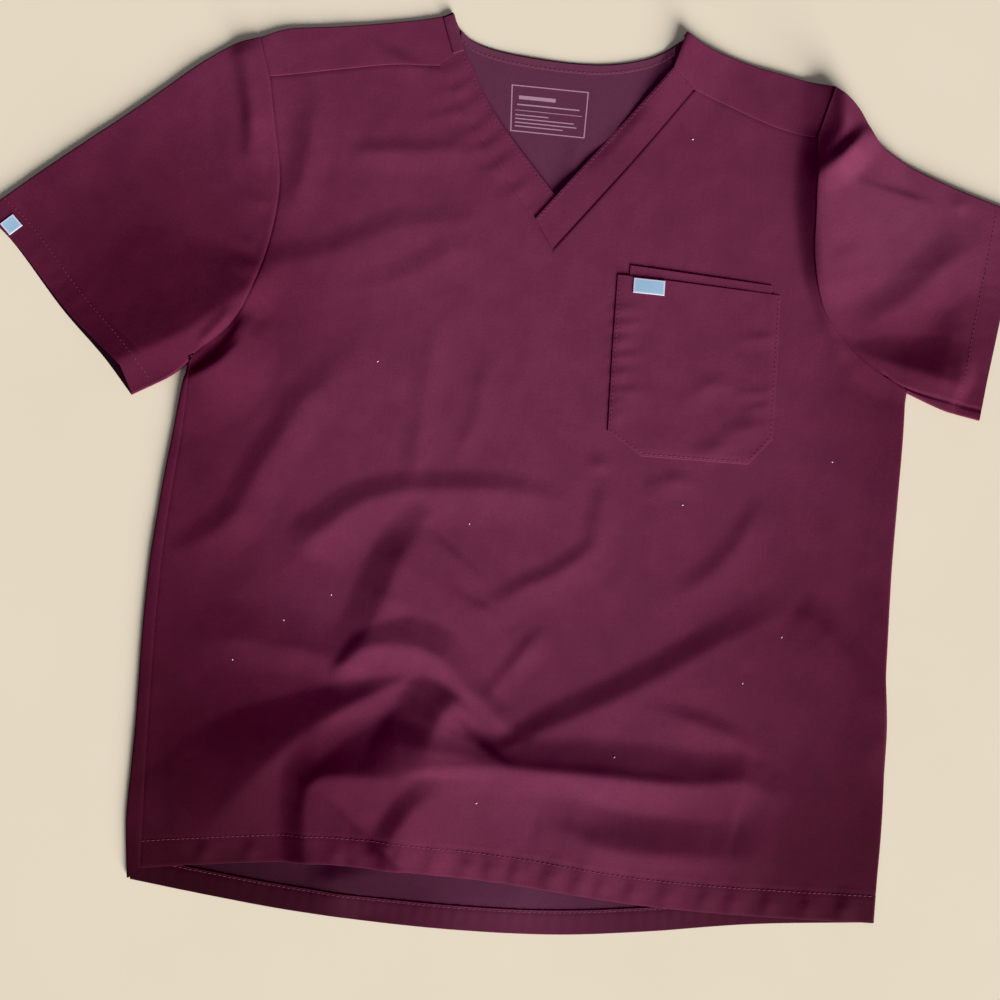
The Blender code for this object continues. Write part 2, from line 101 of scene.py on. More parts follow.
def noise(tree, where, scale, detail=2.0, roughness=0.5):
    settings = {"Scale": scale, "Detail": detail, "Roughness": roughness}
    return addNode(tree, "TexNoise", settings, {"Vector": where}).outputs["Fac"]


def mapped(tree, value, settings):
    return addNode(tree, "MapRange", settings, {0: value}).outputs[0]


def blend(tree, share, low, high):    # from one colour to another, each a hex code or a node's output
    settings, links = {"data_type": "RGBA"}, {0: share}
    for slot, colour in ((6, low), (7, high)):
        if isinstance(colour, str):
            settings[slot] = linear(colour)
        else:
            links[slot] = colour
    return addNode(tree, "Mix", settings, links).outputs[2]


def addSurface(tree, settings, links):
    shader = addNode(tree, "BsdfPrincipled", settings, links)
    addNode(tree, "OutputMaterial", None, {"Surface": shader.outputs["BSDF"]})


def newMaterial(name):
    material = bpy.data.materials.new(name)
    material.use_nodes = True
    tree = material.node_tree
    tree.nodes.clear()
    return material, tree


def addLight():
    scene = bpy.context.scene
    looks = scene.view_settings
    looks.view_transform = "Standard"
    looks.use_curve_mapping = True
    looks.curve_mapping.black_level = (light["black"],) * 3
    looks.curve_mapping.update()
    angle = np.radians(light["elevation"])
    towards = Vector((*(np.array(light["towards"]) * np.cos(angle)), np.sin(angle))).normalized()
    data = bpy.data.lights.new("windowKey", "SUN")
    data.energy = light["key"]
    data.angle = np.radians(light["softness"])
    data.color = linear(light["keyColour"])[:3]
    key = bpy.data.objects.new("windowKey", data)
    key.rotation_mode = "QUATERNION"
    key.rotation_quaternion = towards.to_track_quat("Z", "Y")
    scene.collection.objects.link(key)
    world = bpy.data.worlds.new("studio")
    world.use_nodes = True
    back = world.node_tree.nodes["Background"]
    back.inputs["Color"].default_value = linear(light["fillColour"])
    back.inputs["Strength"].default_value = light["fill"]
    scene.world = world


def addFloor():
    # matt board: even and pale, with a faint cloudiness
    material, tree = newMaterial("paleMattBoard")
    where = addNode(tree, "TexCoord").outputs["Object"]
    tone = blend(tree, noise(tree, where, 6.0, 4.0), light["floor"], light["floorDeep"])
    addSurface(tree, {"Roughness": 0.85}, {"Base Color": tone})
    bpy.ops.mesh.primitive_plane_add(size=light["floorSize"], location=(0, 0, 0))
    floor = bpy.context.object
    floor.name = "floor"
    floor.data.materials.append(material)


addCamera()
addLight()
addFloor()
print("camera, light and floor made")


cloth = {
    "twillSpacing": 1.1,    # mm; drawn coarser than the real 0.5 mm, which would not show
    "twillAngle": 58.0,    # degrees
    "rib": 0.10,    # mm, how deep they are
    "heather": 1.6,    # mm, the size of the yarn's flecks
    "slub": 3.0,    # mm, the thicker places in the yarn
    "mottle": 34.0,    # mm, the size of its soft patches
    "nap": 7.0,    # mm, the size of the brushed tufts
    "napDepth": 0.35,    # mm
    "roughness": (0.78, 0.95),
    "nearSheen": "#c98aa2",
}
ribbon = {
    "bright": "#9fc4e6", "field": "#8fb6dc", "edge": "#c6cfea",
    "edgeFrom": 1.1, "edgeTo": 1.7, "rib": 0.8,    # mm
}
dyes = {    # the brightest shade of each, the usual one and the deepest
    "face": ("#6b2c4a", "#622644", "#571f3b"),
    "wrongSide": ("#5d304b", "#5d304b", "#512743"),
    # painted shade: far darker than the wrong side, for the shade inside the sleeves
    "sleeveInsidePaintedShade": ("#331c2c", "#331c2c", "#2a1724"),
    "neckTape": ("#66354f", "#66354f", "#5a2d47"),
    "selfTape": ("#5f2a45", "#5f2a45", "#622644"),
    "wineThread": ("#75344f", "#642a46"),
    "tapeThread": ("#5f334b", "#4e2a40"),
    "ink": ("#b48ea8", "#a57f99"),
    "lint": ("#e8dfe4", "#cdbcc8"),
}
waveBand = 0.314    # a wave texture of scale 1 repeats at this distance


# painted shade and light, standing in for how the light falls: darker at the flanks, the sleeves and the hem,
# lighter where the amount is below zero; centre and radii in mm, and how much
paintedShadeZones = {
    "leftFlank": ((-340, -230), (260, 380), 0.42),
    "lowLeft": ((-210, -350), (300, 220), 0.30),
    "rightFlank": ((420, -240), (300, 360), 0.27),
    "lowRight": ((360, -400), (300, 200), 0.28),
    "hem": ((50, -470), (420, 150), 0.22),
    "leftSleeve": ((-350, 130), (280, 260), 0.29),
    "rightSleeveHem": ((420, 90), (170, 150), 0.22),
    "hemLeft": ((-210, -410), (260, 70), 0.35),
    "hemMiddle": ((60, -415), (130, 40), -0.12),
    "rightCap": ((370, 250), (130, 140), -0.10),
    "chest": ((20, 80), (330, 330), -0.06),
}


def addPaintedShade(tree, colour, where):    # painted shade: each zone darkens the colour and makes it fuller, or lightens it where its amount is below zero
    depth = addNode(tree, "Value").outputs[0]
    depth.default_value = 1.0
    for centre, radii, amount in paintedShadeZones.values():
        zone = {"vector_type": "TEXTURE", "Location": (*np.array(centre) * mm, 0.0),
                "Scale": (*np.array(radii) * mm, 1.0)}
        spot = addNode(tree, "Mapping", zone, {"Vector": where}).outputs[0]
        ball = addNode(tree, "TexGradient", {"gradient_type": "SPHERICAL"}, {"Vector": spot})
        soft = mapped(tree, ball.outputs["Fac"], {"interpolation_type": "SMOOTHSTEP", 4: amount})
        depth = addNode(tree, "Math", {"operation": "ADD"}, {0: depth, 1: soft}).outputs[0]
    return addNode(tree, "Gamma", None, {"Color": colour, "Gamma": depth}).outputs[0]


def twillMaterial(name, shades, ribs=1.0, sheen=0.08):
    # stretch twill, woven and brushed: a matt face, fine slanting ribs, soft nap that catches low light
    bright, usual, deep = shades
    material, tree = newMaterial(name)
    grain = addNode(tree, "UVMap", {"uv_map": "grain"}).outputs["UV"]
    where = addNode(tree, "TexCoord").outputs["Object"]
    yarn = addNode(tree, "Mapping", {"Scale": (1.0, 0.08, 1.0)}, {"Vector": grain}).outputs["Vector"]
    patches = noise(tree, where, 1 / (cloth["mottle"] * mm), 3.0, 0.55)
    flecks = noise(tree, where, 1 / (cloth["heather"] * mm))
    slubs = noise(tree, yarn, 1 / (cloth["slub"] * mm))
    tone = blend(tree, mapped(tree, patches, {1: 0.3, 2: 0.7}), usual, bright)
    tone = blend(tree, mapped(tree, flecks, {1: 0.35, 2: 0.75, 3: 0.0, 4: 0.5}), tone, deep)
    tone = blend(tree, mapped(tree, slubs, {1: 0.5, 2: 0.85, 3: 0.0, 4: 0.35}), tone, bright)
    turned = addNode(tree, "Mapping", {"Rotation": (0.0, 0.0, np.radians(cloth["twillAngle"]))},
                     {"Vector": grain})
    wave = {"wave_type": "BANDS", "bands_direction": "X", "Scale": waveBand / (cloth["twillSpacing"] * mm),
            "Distortion": 0.6, "Detail": 1.0}
    rib = addNode(tree, "TexWave", wave, {"Vector": turned.outputs["Vector"]})
    relief = addNode(tree, "Bump", {"Strength": 0.25 * ribs, "Distance": cloth["rib"] * mm},
                     {"Height": rib.outputs["Fac"]})
    brushed = addNode(tree, "Bump", {"Strength": 0.35, "Distance": cloth["napDepth"] * mm},
                      {"Height": noise(tree, where, 1 / (cloth["nap"] * mm), 5.0, 0.6),
                       "Normal": relief.outputs["Normal"]})
    smoothest, roughest = cloth["roughness"]
    # the base colour carries the painted shade and light of the zones
    addSurface(tree, {"Specular IOR Level": 0.15, "Sheen Weight": sheen, "Sheen Roughness": 0.55,
                      "Sheen Tint": linear(cloth["nearSheen"])},
               {"Base Color": addPaintedShade(tree, tone, where), "Normal": brushed.outputs["Normal"],
                "Roughness": mapped(tree, patches, {3: smoothest, 4: roughest})})
    return material


def ribbonMaterial(name):
    # woven satin ribbon: fine cross ribs and a paler woven edge
    material, tree = newMaterial(name)
    grain = addNode(tree, "UVMap", {"uv_map": "grain"}).outputs["UV"]
    rim = addNode(tree, "Attribute", {"attribute_name": "rim"}).outputs["Fac"]
    ribs = addNode(tree, "TexWave", {"bands_direction": "Y", "Scale": waveBand / (ribbon["rib"] * mm)},
                   {"Vector": grain}).outputs["Fac"]
    weave = blend(tree, ribs, ribbon["field"], ribbon["bright"])
    inside = mapped(tree, rim, {1: ribbon["edgeFrom"], 2: ribbon["edgeTo"]})
    relief = addNode(tree, "Bump", {"Strength": 0.3, "Distance": 0.08 * mm}, {"Height": ribs})
    addSurface(tree, {"Roughness": 0.5, "Sheen Weight": 0.15},
               {"Base Color": blend(tree, inside, ribbon["edge"], weave), "Normal": relief.outputs["Normal"]})
    return material


def threadMaterial(name, shades):
    # spun polyester thread: two twisted plies that shine a little
    material, tree = newMaterial(name)
    ply = noise(tree, addNode(tree, "TexCoord").outputs["Object"], 1 / (1.2 * mm))
    addSurface(tree, {"Roughness": 0.55}, {"Base Color": blend(tree, ply, shades[1], shades[0])})
    return material


wineTwill = twillMaterial("brushedWineTwill", dyes["face"])
innerTwill = twillMaterial("innerFaceTwill", dyes["wrongSide"], 0.7, 0.15)
# painted shade inside the sleeves
shadedTwill = twillMaterial("sleeveInnerPaintedShade", dyes["sleeveInsidePaintedShade"], 0.7, 0.02)
neckTwill = twillMaterial("neckTapeTwill", dyes["neckTape"], 0.7)
tapeTwill = twillMaterial("selfTapeTwill", dyes["selfTape"], 0.7)
tagRibbon = ribbonMaterial("wovenTagRibbon")
wineThread = threadMaterial("spunWineThread", dyes["wineThread"])
tapeThread = threadMaterial("spunTapeThread", dyes["tapeThread"])
printInk = threadMaterial("heatTransferInk", dyes["ink"])
lintFibre = threadMaterial("whiteLint", dyes["lint"])
print("materials made")


def smooth(value):
    value = np.clip(value, 0.0, 1.0)
    return value * value * (3 - 2 * value)


def curve(knots, cells=10):    # a smooth run through its knots, with no loop at close ones
    knots = np.array(knots, float)
    full = np.vstack([2 * knots[0] - knots[1], knots, 2 * knots[-1] - knots[-2]])
    step = np.linalg.norm(np.diff(full, axis=0), axis=1)[:, None] ** 0.5
    slope = np.diff(full, axis=0) / step
    lean = (slope[:-1] * step[1:] + slope[1:] * step[:-1]) / (step[:-1] + step[1:])
    t = np.linspace(0, 1, cells + 1)[:-1, None]
    runs = []
    for a, b, h, leanA, leanB in zip(knots, knots[1:], step[1:], lean, lean[1:]):
        bend = leanA * t * (1 - t)**2 + leanB * t * t * (t - 1)
        runs.append(a * (1 + 2 * t) * (1 - t)**2 + b * t * t * (3 - 2 * t) + h * bend)
    return np.vstack(runs + [knots[-1]])


def lengths(line):
    return np.concatenate([[0], np.cumsum(np.linalg.norm(np.diff(line, axis=0), axis=1))])


def along(line, shares):    # points at these shares of a line's length
    far = lengths(line)
    at = np.asarray(shares) * far[-1]
    return np.stack([np.interp(at, far, line[:, k]) for k in range(line.shape[1])], -1)


def evenly(line, count):
    return along(line, np.linspace(0, 1, count))


def offLine(places, line):
    # distance from a line, the side of it (1 left, -1 right) and how many cells along it
    start, run = line[:-1], np.diff(line, axis=0)
    length = np.linalg.norm(run, axis=1)
    away = places[:, None, :] - start[None]
    share = np.clip((away * run).sum(-1) / length**2, 0, 1)
    distance = np.linalg.norm(away - share[..., None] * run, axis=-1)
    near = distance.argmin(axis=1)
    pick = np.arange(len(places)), near
    across = run[near, 0] * away[pick][:, 1] - run[near, 1] * away[pick][:, 0]
    side = np.clip(across / length[near] / (distance[pick] + 1e-6), -1, 1)
    return distance[pick], side, near + share[pick]


def closeTo(places, line, reach):
    return ((places > line.min(axis=0) - reach) & (places < line.max(axis=0) + reach)).all(axis=1)


def cloudy(places, size, seed):    # smooth noise from -1 to 1 with features of this size
    tiles = 64
    grid = np.random.default_rng(seed).uniform(-1, 1, (tiles, tiles))
    p = places / np.asarray(size, float) + (tiles - 1) / 2
    i, j = np.floor(p).astype(int).T
    t = smooth(p - np.floor(p))
    low, high = (grid[i % tiles, row % tiles] * (1 - t[:, 0]) + grid[(i + 1) % tiles, row % tiles] * t[:, 0]
                 for row in (j, j + 1))
    return low * (1 - t[:, 1]) + high * t[:, 1]


lay = {
    "face": 3.2,    # outer face of the upper layer where nothing lifts it, mm
    "least": 2.7,    # the upper layer never sinks into the one below
    "under": 0.9,    # inner face of the back, which lies on the floor
    "low": (-500, -440),    # corners of the rectangle that the map of heights covers
    "high": (500, 440),
    "step": 1.3,
    "uneven": [(0.40, (46, 90), 3), (0.22, (22, 30), 5), (0.10, (9, 13), 8)],    # mm high, mm long, seed
    "soften": [(-2, 0.0625), (-1, 0.25), (0, 0.375), (1, 0.25), (2, 0.0625)],    # cells away, share
}


# a fold stands up along its line: the height of its crest, how far it falls away on the left and on the right
# (each one number, or several spread from the line's first knot to its last), how round the crest is, and
# how hollow the flanks are (1 is straight)
folds = {
    "leftEdge": ([(-288, -399), (-294, -300), (-296, -114), (-275, 76)], 1.6, 24, 24, 8, 1.4),
    "rightEdge": ([(379, -386), (381, -240), (379, -62), (383, 94)], 1.6, 30, 30, 8, 1.4),
    "leftSleeveTop": ([(-240, 382), (-353, 302), (-481, 195)], 1.2, 40, 40, 12, 1.6),
    "rightSleeveTop": ([(300, 373), (342, 326), (406, 291), (481, 266)], 1.2, 40, 40, 12, 1.6),
    "neckStand": ([(60, 252), (95, 300), (126, 345), (150, 385), (162, 417)], (0, 0, 1.4, 4.4, 6),
        8, (24, 30, 50, 60), 3, 1.5),
    "hemRoll": ([(-126, -380), (-133, -317), (-130, -302), (-119, -295), (-52, -289), (-26, -281),
        (19, -274), (73, -274), (126, -275), (171, -277), (216, -277), (252, -272), (272, -278),
        (298, -290)], (12.2, 12.2, 11.8, 11.4, 11.4, 9.5, 7.5, 7.5, 8, 8, 7, 5.5, 2.5, 0),
        (22, 23, 28, 43, 57, 39, 25, 26, 30, 32, 28, 24, 22, 18),
        (229, 229, 229, 202, 147, 119, 110, 110, 110, 92, 73, 55, 37, 28), 1.8, (1.3, 1.4)),
    "hemRollLit": ([(-25, -286), (19, -278), (73, -277), (127, -277), (172, -279), (216, -279)],
        (0, 1.4, 1.6, 1.6, 1.3, 0), 8, 22, 1.2, (1, 1.1)),
    "cornerStep": ([(-28, -288), (-28, -264), (-23, -242), (-16, -229), (-9, -221), (-4, -215)],
        (0, 8.5, 12, 11.5, 6, 0), (55, 50, 40, 40, 28, 13), (83, 83, 73, 55, 37, 28), 2.5, (1.05, 1.3)),
    "cornerSwell": ([(-133, -387), (-140, -317), (-135, -301), (-101, -294), (-52, -289), (-17, -280),
        (27, -273)], (6, 6, 6, 6, 5, 3, 0), (138, 138, 128, 110, 92, 73, 46),
        (275, 275, 275, 257, 183, 128, 92), 3, (1.1, 1)),
    "cornerRidge": ([(-242, -371), (-223, -348), (-204, -326), (-187, -306), (-167, -283), (-142, -260),
        (-117, -241), (-92, -225), (-62, -209)], (0, 3, 4.5, 6, 7, 7, 6.5, 5, 2),
        (73, 72, 69, 66, 55, 39, 27, 17, 7), (55, 55, 55, 51, 37, 26, 22, 22, 17), 2.5, (1.1, 1.2)),
    "bellyArc": ([(-111, -195), (-95, -180), (-65, -174), (-36, -178), (-15, -191), (2, -208), (16, -219),
        (33, -234), (44, -246)], (2.5, 4.4, 6.2, 7, 6.4, 5, 4, 1.5), (7, 15, 26, 25, 17, 13, 12, 11),
        (28, 37, 39, 37, 31, 24, 20, 14), 2, (1.1, 1.2)),
    "leftShelf": ([(-252, -191), (-213, -180), (-179, -182), (-151, -184), (-111, -194)],
        (0, 2.5, 3, 3, 3), (33, 33, 33, 31, 28), (24, 24, 22, 18), 4, 1.3),
    "leftSlant": ([(-111, -198), (-96, -176), (-86, -155), (-77, -132), (-68, -102), (-58, -81),
        (-49, -61), (-37, -52)], (0.5, 4, 7.5, 9, 8, 5, 2.5, 0), (26, 28, 29, 31, 29, 26, 20, 9),
        (92, 128, 128, 119, 92, 73, 46, 28), 3, (1.15, 1.1)),
    "waistArc": ([(-159, -100), (-151, -84), (-134, -71), (-120, -57), (-103, -46), (-82, -38), (-60, -33),
        (-28, -30), (8, -27), (36, -28), (59, -31), (80, -34)],
        (1, 3.4, 4.2, 4.2, 3.6, 3.2, 2.8, 2.8, 2.6, 2, 1, 0),
        (18, 22, 22, 22, 20, 18, 17, 17, 16, 15, 11, 7), (40, 40, 39, 35, 33, 31, 31, 31, 31, 31),
        3, (1.2, 1.3)),
    "sideSlant": ([(-281, -110), (-259, -99), (-238, -84), (-219, -65), (-210, -44), (-198, -15),
        (-180, 18), (-168, 42), (-147, 61), (-128, 90), (-109, 117)],
        (0, 1.5, 2.5, 3.2, 3.2, 3.2, 3, 2.5, 1.6, 1, 0), (11, 15, 17, 18, 18, 18, 20, 22, 28), 26, 4, 1.3),
    "longDiagonal": ([(34, -262), (46, -256), (58, -251), (76, -240), (107, -224), (141, -206),
        (176, -185), (211, -162), (245, -141), (272, -125), (298, -113)],
        (1, 3, 4.5, 5, 5, 5, 4.6, 4.6, 3.6, 2, 0), (9, 12, 16, 18, 20, 20, 20, 20, 22, 24, 24),
        (55, 92, 119, 138), 3, (1.15, 1.1)),
    "rightFall": ([(293, -113), (306, -121), (323, -135), (339, -154), (354, -175), (369, -198),
        (381, -220)], (0, 2.5, 4.4, 4.8, 4.6, 4, 3), 20, 46, 3, (1.2, 1.4)),
    "underDiagonal": ([(158, -213), (204, -222), (238, -232), (270, -246)], (0, 2.4, 2.6, 0), 12, 31, 2, 1.2),
    "hemRidge": ([(72, -322), (103, -329), (126, -337), (153, -341), (185, -342), (220, -342), (256, -340),
        (287, -336)], (0, 5, 7.5, 8.2, 8.2, 6.5, 3.5, 0), 31, 83, 4, (1.2, 1.2)),
    "hemSlot": ([(-57, -374), (-56, -353), (-47, -333), (-34, -314), (-12, -297)], (6.5, 7, 7, 5, 0),
        17, 83, 2, (1.1, 1.2)),
    "hemDent": ([(-83, -371), (-85, -353), (-82, -335)], (2, 1.8, 0), 11, 15, 2, 1.3),
    "bellySlant": ([(26, -207), (41, -186), (55, -165), (71, -146)], (1.2, 1.6, 1.6, 0), 9, 17, 1.5, 1.3),
    "waistSlant": ([(-8, -145), (28, -126), (47, -113), (69, -102), (90, -87), (110, -70)],
        (0, 1.2, 2, 2.2, 2.2, 0.8), 12, 24, 2, 1.3),
    "rightSlant": ([(165, -117), (196, -102), (215, -88), (234, -66), (248, -38), (258, -17)],
        (0, 1.2, 1.6, 2, 1.6, 0), 13, 24, 3, 1.3),
    "pocketDrop": ([(106, -70), (109, -51), (112, -28), (114, -8)], (1, 1.6, 1.4, 0), 13, 17, 2, 1.3),
    "pocketDent": ([(91, 4), (107, 4), (123, 7)], (0, 1.3, 0), 11, 9, 2, 1.3),
    "chestPress": ([(-62, -23), (-61, -5), (-60, 23), (-58, 51), (-57, 79), (-52, 109), (-45, 136)],
        (0.5, 1.6, 1.5, 1.1, 1, 0.8, 0), 15, 17, 1.5, 1.3),
    "chestPressShort": ([(-25, -8), (-17, 17), (-8, 45), (-5, 73), (0, 104)], (0, 1.3, 1.3, 1.1, 0),
        13, 18, 2, 1.3),
    "chestArc": ([(-224, 163), (-183, 173), (-156, 181), (-129, 194), (-103, 206), (-75, 215), (-43, 219),
        (-2, 228)], (1.4, 1.8, 2, 2, 1.9, 1.8, 1.2, 0), 18, 46, 4, 1.3),
    "chestArcLow": ([(-153, 144), (-108, 155), (-72, 173), (-41, 193), (0, 203)], (0, 1, 1.1, 1, 0),
        15, 22, 4, 1.3),
    "shoulderStreak": ([(-150, 272), (-132, 279), (-109, 282), (-72, 285), (-40, 292)],
        (0, 1.6, 1.8, 1.8, 0.6), 13, 20, 3, 1.3),
    "armPress": ([(-195, 221), (-190, 243), (-185, 272), (-183, 306), (-184, 332)],
        (0.8, 2.4, 2.6, 2.2, 0.6), 16, 20, 3, 1.3),
    "capPress": ([(-237, 276), (-239, 301), (-245, 330), (-254, 362)], (2.5, 6.5, 7, 5),
        10, 31, 2, (1.1, 1.4)),
    "capPressOuter": ([(-243, 240), (-258, 263), (-267, 285), (-274, 306)], (0, 1.2, 1.2, 0.4),
        7, 15, 1.5, 1.3),
    "yokeStreak": ([(-141, 390), (-117, 376), (-97, 367), (-73, 358)], (0, 1.3, 1.3, 0), 9, 18, 2, 1.3),
    "leftSleeveSwell": ([(-353, 59), (-321, 76), (-295, 90), (-269, 107), (-245, 127), (-226, 145),
        (-209, 162)], (8, 9, 10, 10, 8.5, 5, 1), (92, 110, 124, 119, 92, 55, 22),
        (31, 31, 33, 33, 31, 28, 22), 3, (1.4, 1.4)),
    "underarmTuck": ([(-276, 54), (-263, 61), (-250, 70), (-237, 84), (-228, 101), (-222, 116),
        (-220, 126)], (3, 8, 10, 10, 7, 1, 0), (9, 11), (55, 55, 46, 28, 13), 1.2, (1, 1.3)),
    "underarmLip": ([(-273, 66), (-259, 75), (-245, 89), (-234, 106), (-227, 122)], (0, 3, 3.5, 3, 0),
        (7, 8, 8, 7), 7, 1, 1.1),
    "underarmRim": ([(-271, 85), (-262, 93), (-254, 102), (-246, 113), (-241, 125)], (0, 3, 3.4, 2.8, 0),
        (6, 8, 9, 7, 5), 6, 0.8, (1, 1.1)),
    "sleeveCrease": ([(429, 263), (424, 270), (416, 283)], (0, 1.6, 0), 7, 13, 1.5, 1.2),
    "sleeveCap": ([(331, 114), (315, 138), (305, 161), (298, 185), (294, 214), (291, 245), (290, 275),
        (291, 294), (297, 312), (306, 334), (308, 367)], (1, 3, 5, 8.5, 11, 13, 14, 14, 13, 12, 11),
        (7, 7, 9, 13, 16, 18, 20, 24, 31, 37), (55, 83, 101, 110, 110, 110, 110, 92, 73, 55), 2, (1.5, 1.3)),
    "capPinch": ([(296, 293), (306, 303), (316, 315), (327, 328)], (4, 10, 10, 5), 7, 22, 1.2, 1.1),
    "capLobe": ([(300, 362), (309, 345), (308, 328), (298, 308)], (1, 2.6, 2.6, 1), 8, 5, 1.2, 1.1),
    "rightSleeveStreak": ([(331, 148), (354, 159), (375, 173), (394, 194), (412, 212), (436, 231)],
        (0, 2.4, 3.6, 4, 4, 1.5), (22, 24), 31, 3, (1.2, 1.2)),
    "rightSleeveFlank": ([(330, 128), (356, 120), (384, 113), (412, 106), (429, 102), (440, 97)],
        (1, 4, 6.5, 8, 7, 0), (7, 22, 33, 40, 37, 18), 31, 2, (1.15, 1.3)),
    "rightSleeveBlock": ([(436, 96), (430, 120), (421, 147), (412, 175)], (1, 3, 3, 0),
        31, 31, 2.5, (1.1, 1.2)),
    "capDent": ([(306, 202), (322, 217), (340, 224)], (0, 0.8, 0), 9, 13, 2, 1.3),
}


# short ripples that the stitching draws up: their lines, height, and reach on the left and the right hand
puckers = {
    "neckband": ([[(-73, 362), (-60, 365), (-43, 376)], [(-61, 344), (-51, 346), (-34, 360)],
                  [(-52, 327), (-40, 330), (-24, 344)], [(-44, 304), (-31, 308), (-11, 330)],
                  [(-35, 288), (-22, 292), (-2, 309)], [(-19, 270), (-6, 275), (8, 288)],
                  [(1, 248), (15, 255), (23, 267)], [(-75, 317), (-52, 323), (-37, 320)]], 0.9, 7, 12),
    "pocketLeft": ([[(109, 148), (130, 152)], [(110, 134), (135, 138)], [(110, 118), (128, 124)],
                    [(110, 103), (137, 109)], [(111, 88), (132, 93)], [(111, 71), (141, 75)],
                    [(112, 59), (130, 65)], [(112, 47), (129, 55)]], 0.9, 5, 9),
    "pocketRight": ([[(230, 129), (261, 135)], [(239, 64), (263, 72)], [(231, 78), (264, 85)]], 0.9, 6, 10),
    "pocketDents": ([[(222, 40), (240, 48), (262, 54)], [(185, 72), (205, 85), (226, 84)],
                     [(159, -12), (176, -6), (195, -9)], [(200, 24), (222, 31)]], 1.3, 11, 16),
    "frontHem": ([[(x, y), (x + lean, y + 20)] for x, y, lean in (
        (-222, -378, 3), (-180, -374, 2), (-104, -369, 3), (-74, -369, -2), (-48, -371, 2), (-17, -373, 1),
        (12, -374, 3), (36, -375, -1), (58, -376, 2), (88, -378, 1), (113, -380, 3), (134, -382, 0),
        (161, -384, 2), (192, -385, 1), (226, -386, 3), (252, -387, 0), (283, -387, 2), (318, -387, 1),
        (350, -386, 2))], 1.8, 8, 13),
    "leftArmhole": ([[(-246, 190), (-222, 178)], [(-242, 168), (-218, 158)], [(-236, 228), (-213, 222)]],
                    0.9, 9, 12),
}


def foldRise(places, rows):
    total = np.zeros(len(places))
    for line, rise, left, right, crest, hollow in rows:
        line = curve(line, 6)
        close = closeTo(places, line, max(np.max(left), np.max(right)) + 2 * crest)
        distance, side, index = offLine(places[close], line)
        share = index / (len(line) - 1)
        rise, left, right = (np.interp(share, np.linspace(0, 1, np.size(row)), np.atleast_1d(row))
                             for row in (rise, left, right))
        reach = (left * (1 + side) + right * (1 - side)) / 2
        bend = np.interp(side, (-1, 1), (np.max(hollow[1:]), hollow[0])) if np.size(hollow) > 1 else hollow
        away = (np.sqrt(distance**2 + crest**2) - crest) / reach
        total[close] += rise * np.clip(1 - away, 0, None) ** bend
    return total


def wholeLie():    # height of the upper layer's face, over the whole garment
    x, y = (np.arange(low, high, lay["step"]) for low, high in zip(lay["low"], lay["high"]))
    flat = np.stack(np.meshgrid(x, y), -1).reshape(-1, 2)
    strokes = [(line, (0.5 * rise, rise, 0.3 * rise), left, right, 1.0, 1.1)
               for group, rise, left, right in puckers.values() for line in group]
    total = lay["face"] + foldRise(flat, list(folds.values()) + strokes)
    total += sum(height * cloudy(flat, size, seed) for height, size, seed in lay["uneven"])
    least = lay["least"]
    total = (least + np.logaddexp(0, (total - least) * 2.5) / 2.5).reshape(len(y), len(x))
    for turn in range(2):    # cloth bends, it doesn't break
        for axis in (0, 1):
            total = sum(share * np.roll(total, shift, axis) for shift, share in lay["soften"])
    return total


lieMap = wholeLie()
print("folds laid")


def lie(places):
    at = (places - np.array(lay["low"])) / lay["step"]
    cell = np.clip(np.floor(at).astype(int), 0, np.array(lieMap.shape)[::-1] - 2)
    (i, j), (u, v) = np.moveaxis(cell, -1, 0), np.moveaxis(at - cell, -1, 0)
    low = lieMap[j, i] * (1 - u) + lieMap[j, i + 1] * u
    high = lieMap[j + 1, i] * (1 - u) + lieMap[j + 1, i + 1] * u
    return low * (1 - v) + high * v


def seamed(places, height, line, allowance=0.0, dip=0.6, wide=8.0, soft=1.1):
    # a seam's groove, beside the flat ridge of the allowances that are pressed to this side
    off = offLine(places.reshape(-1, 2), line)[0].reshape(height.shape)
    ridge = allowance * (1 - smooth((off - wide) / 3.0)) * (1 - np.exp(-(off / soft) ** 2))
    return height + ridge - dip * np.exp(-(off / soft) ** 2)


def puckered(places, height, line, depth, reach, pitch, seed):
    # small ripples that a line of stitches draws across it
    flat = places.reshape(-1, 2)
    off, side, index = offLine(flat, line)
    far = np.interp(index, np.arange(len(line)), lengths(line))
    wander = cloudy(np.stack([far, far * 0], -1), (40, 40), seed)
    ripple = np.cos(2 * np.pi * far / pitch + 3.0 * wander)
    strong = 0.55 + 0.45 * cloudy(np.stack([far, far * 0], -1), (23, 23), seed + 1)
    return height + (depth * strong * ripple * np.exp(-(off / reach) ** 2)).reshape(height.shape)


bothSides = ("left", "right")
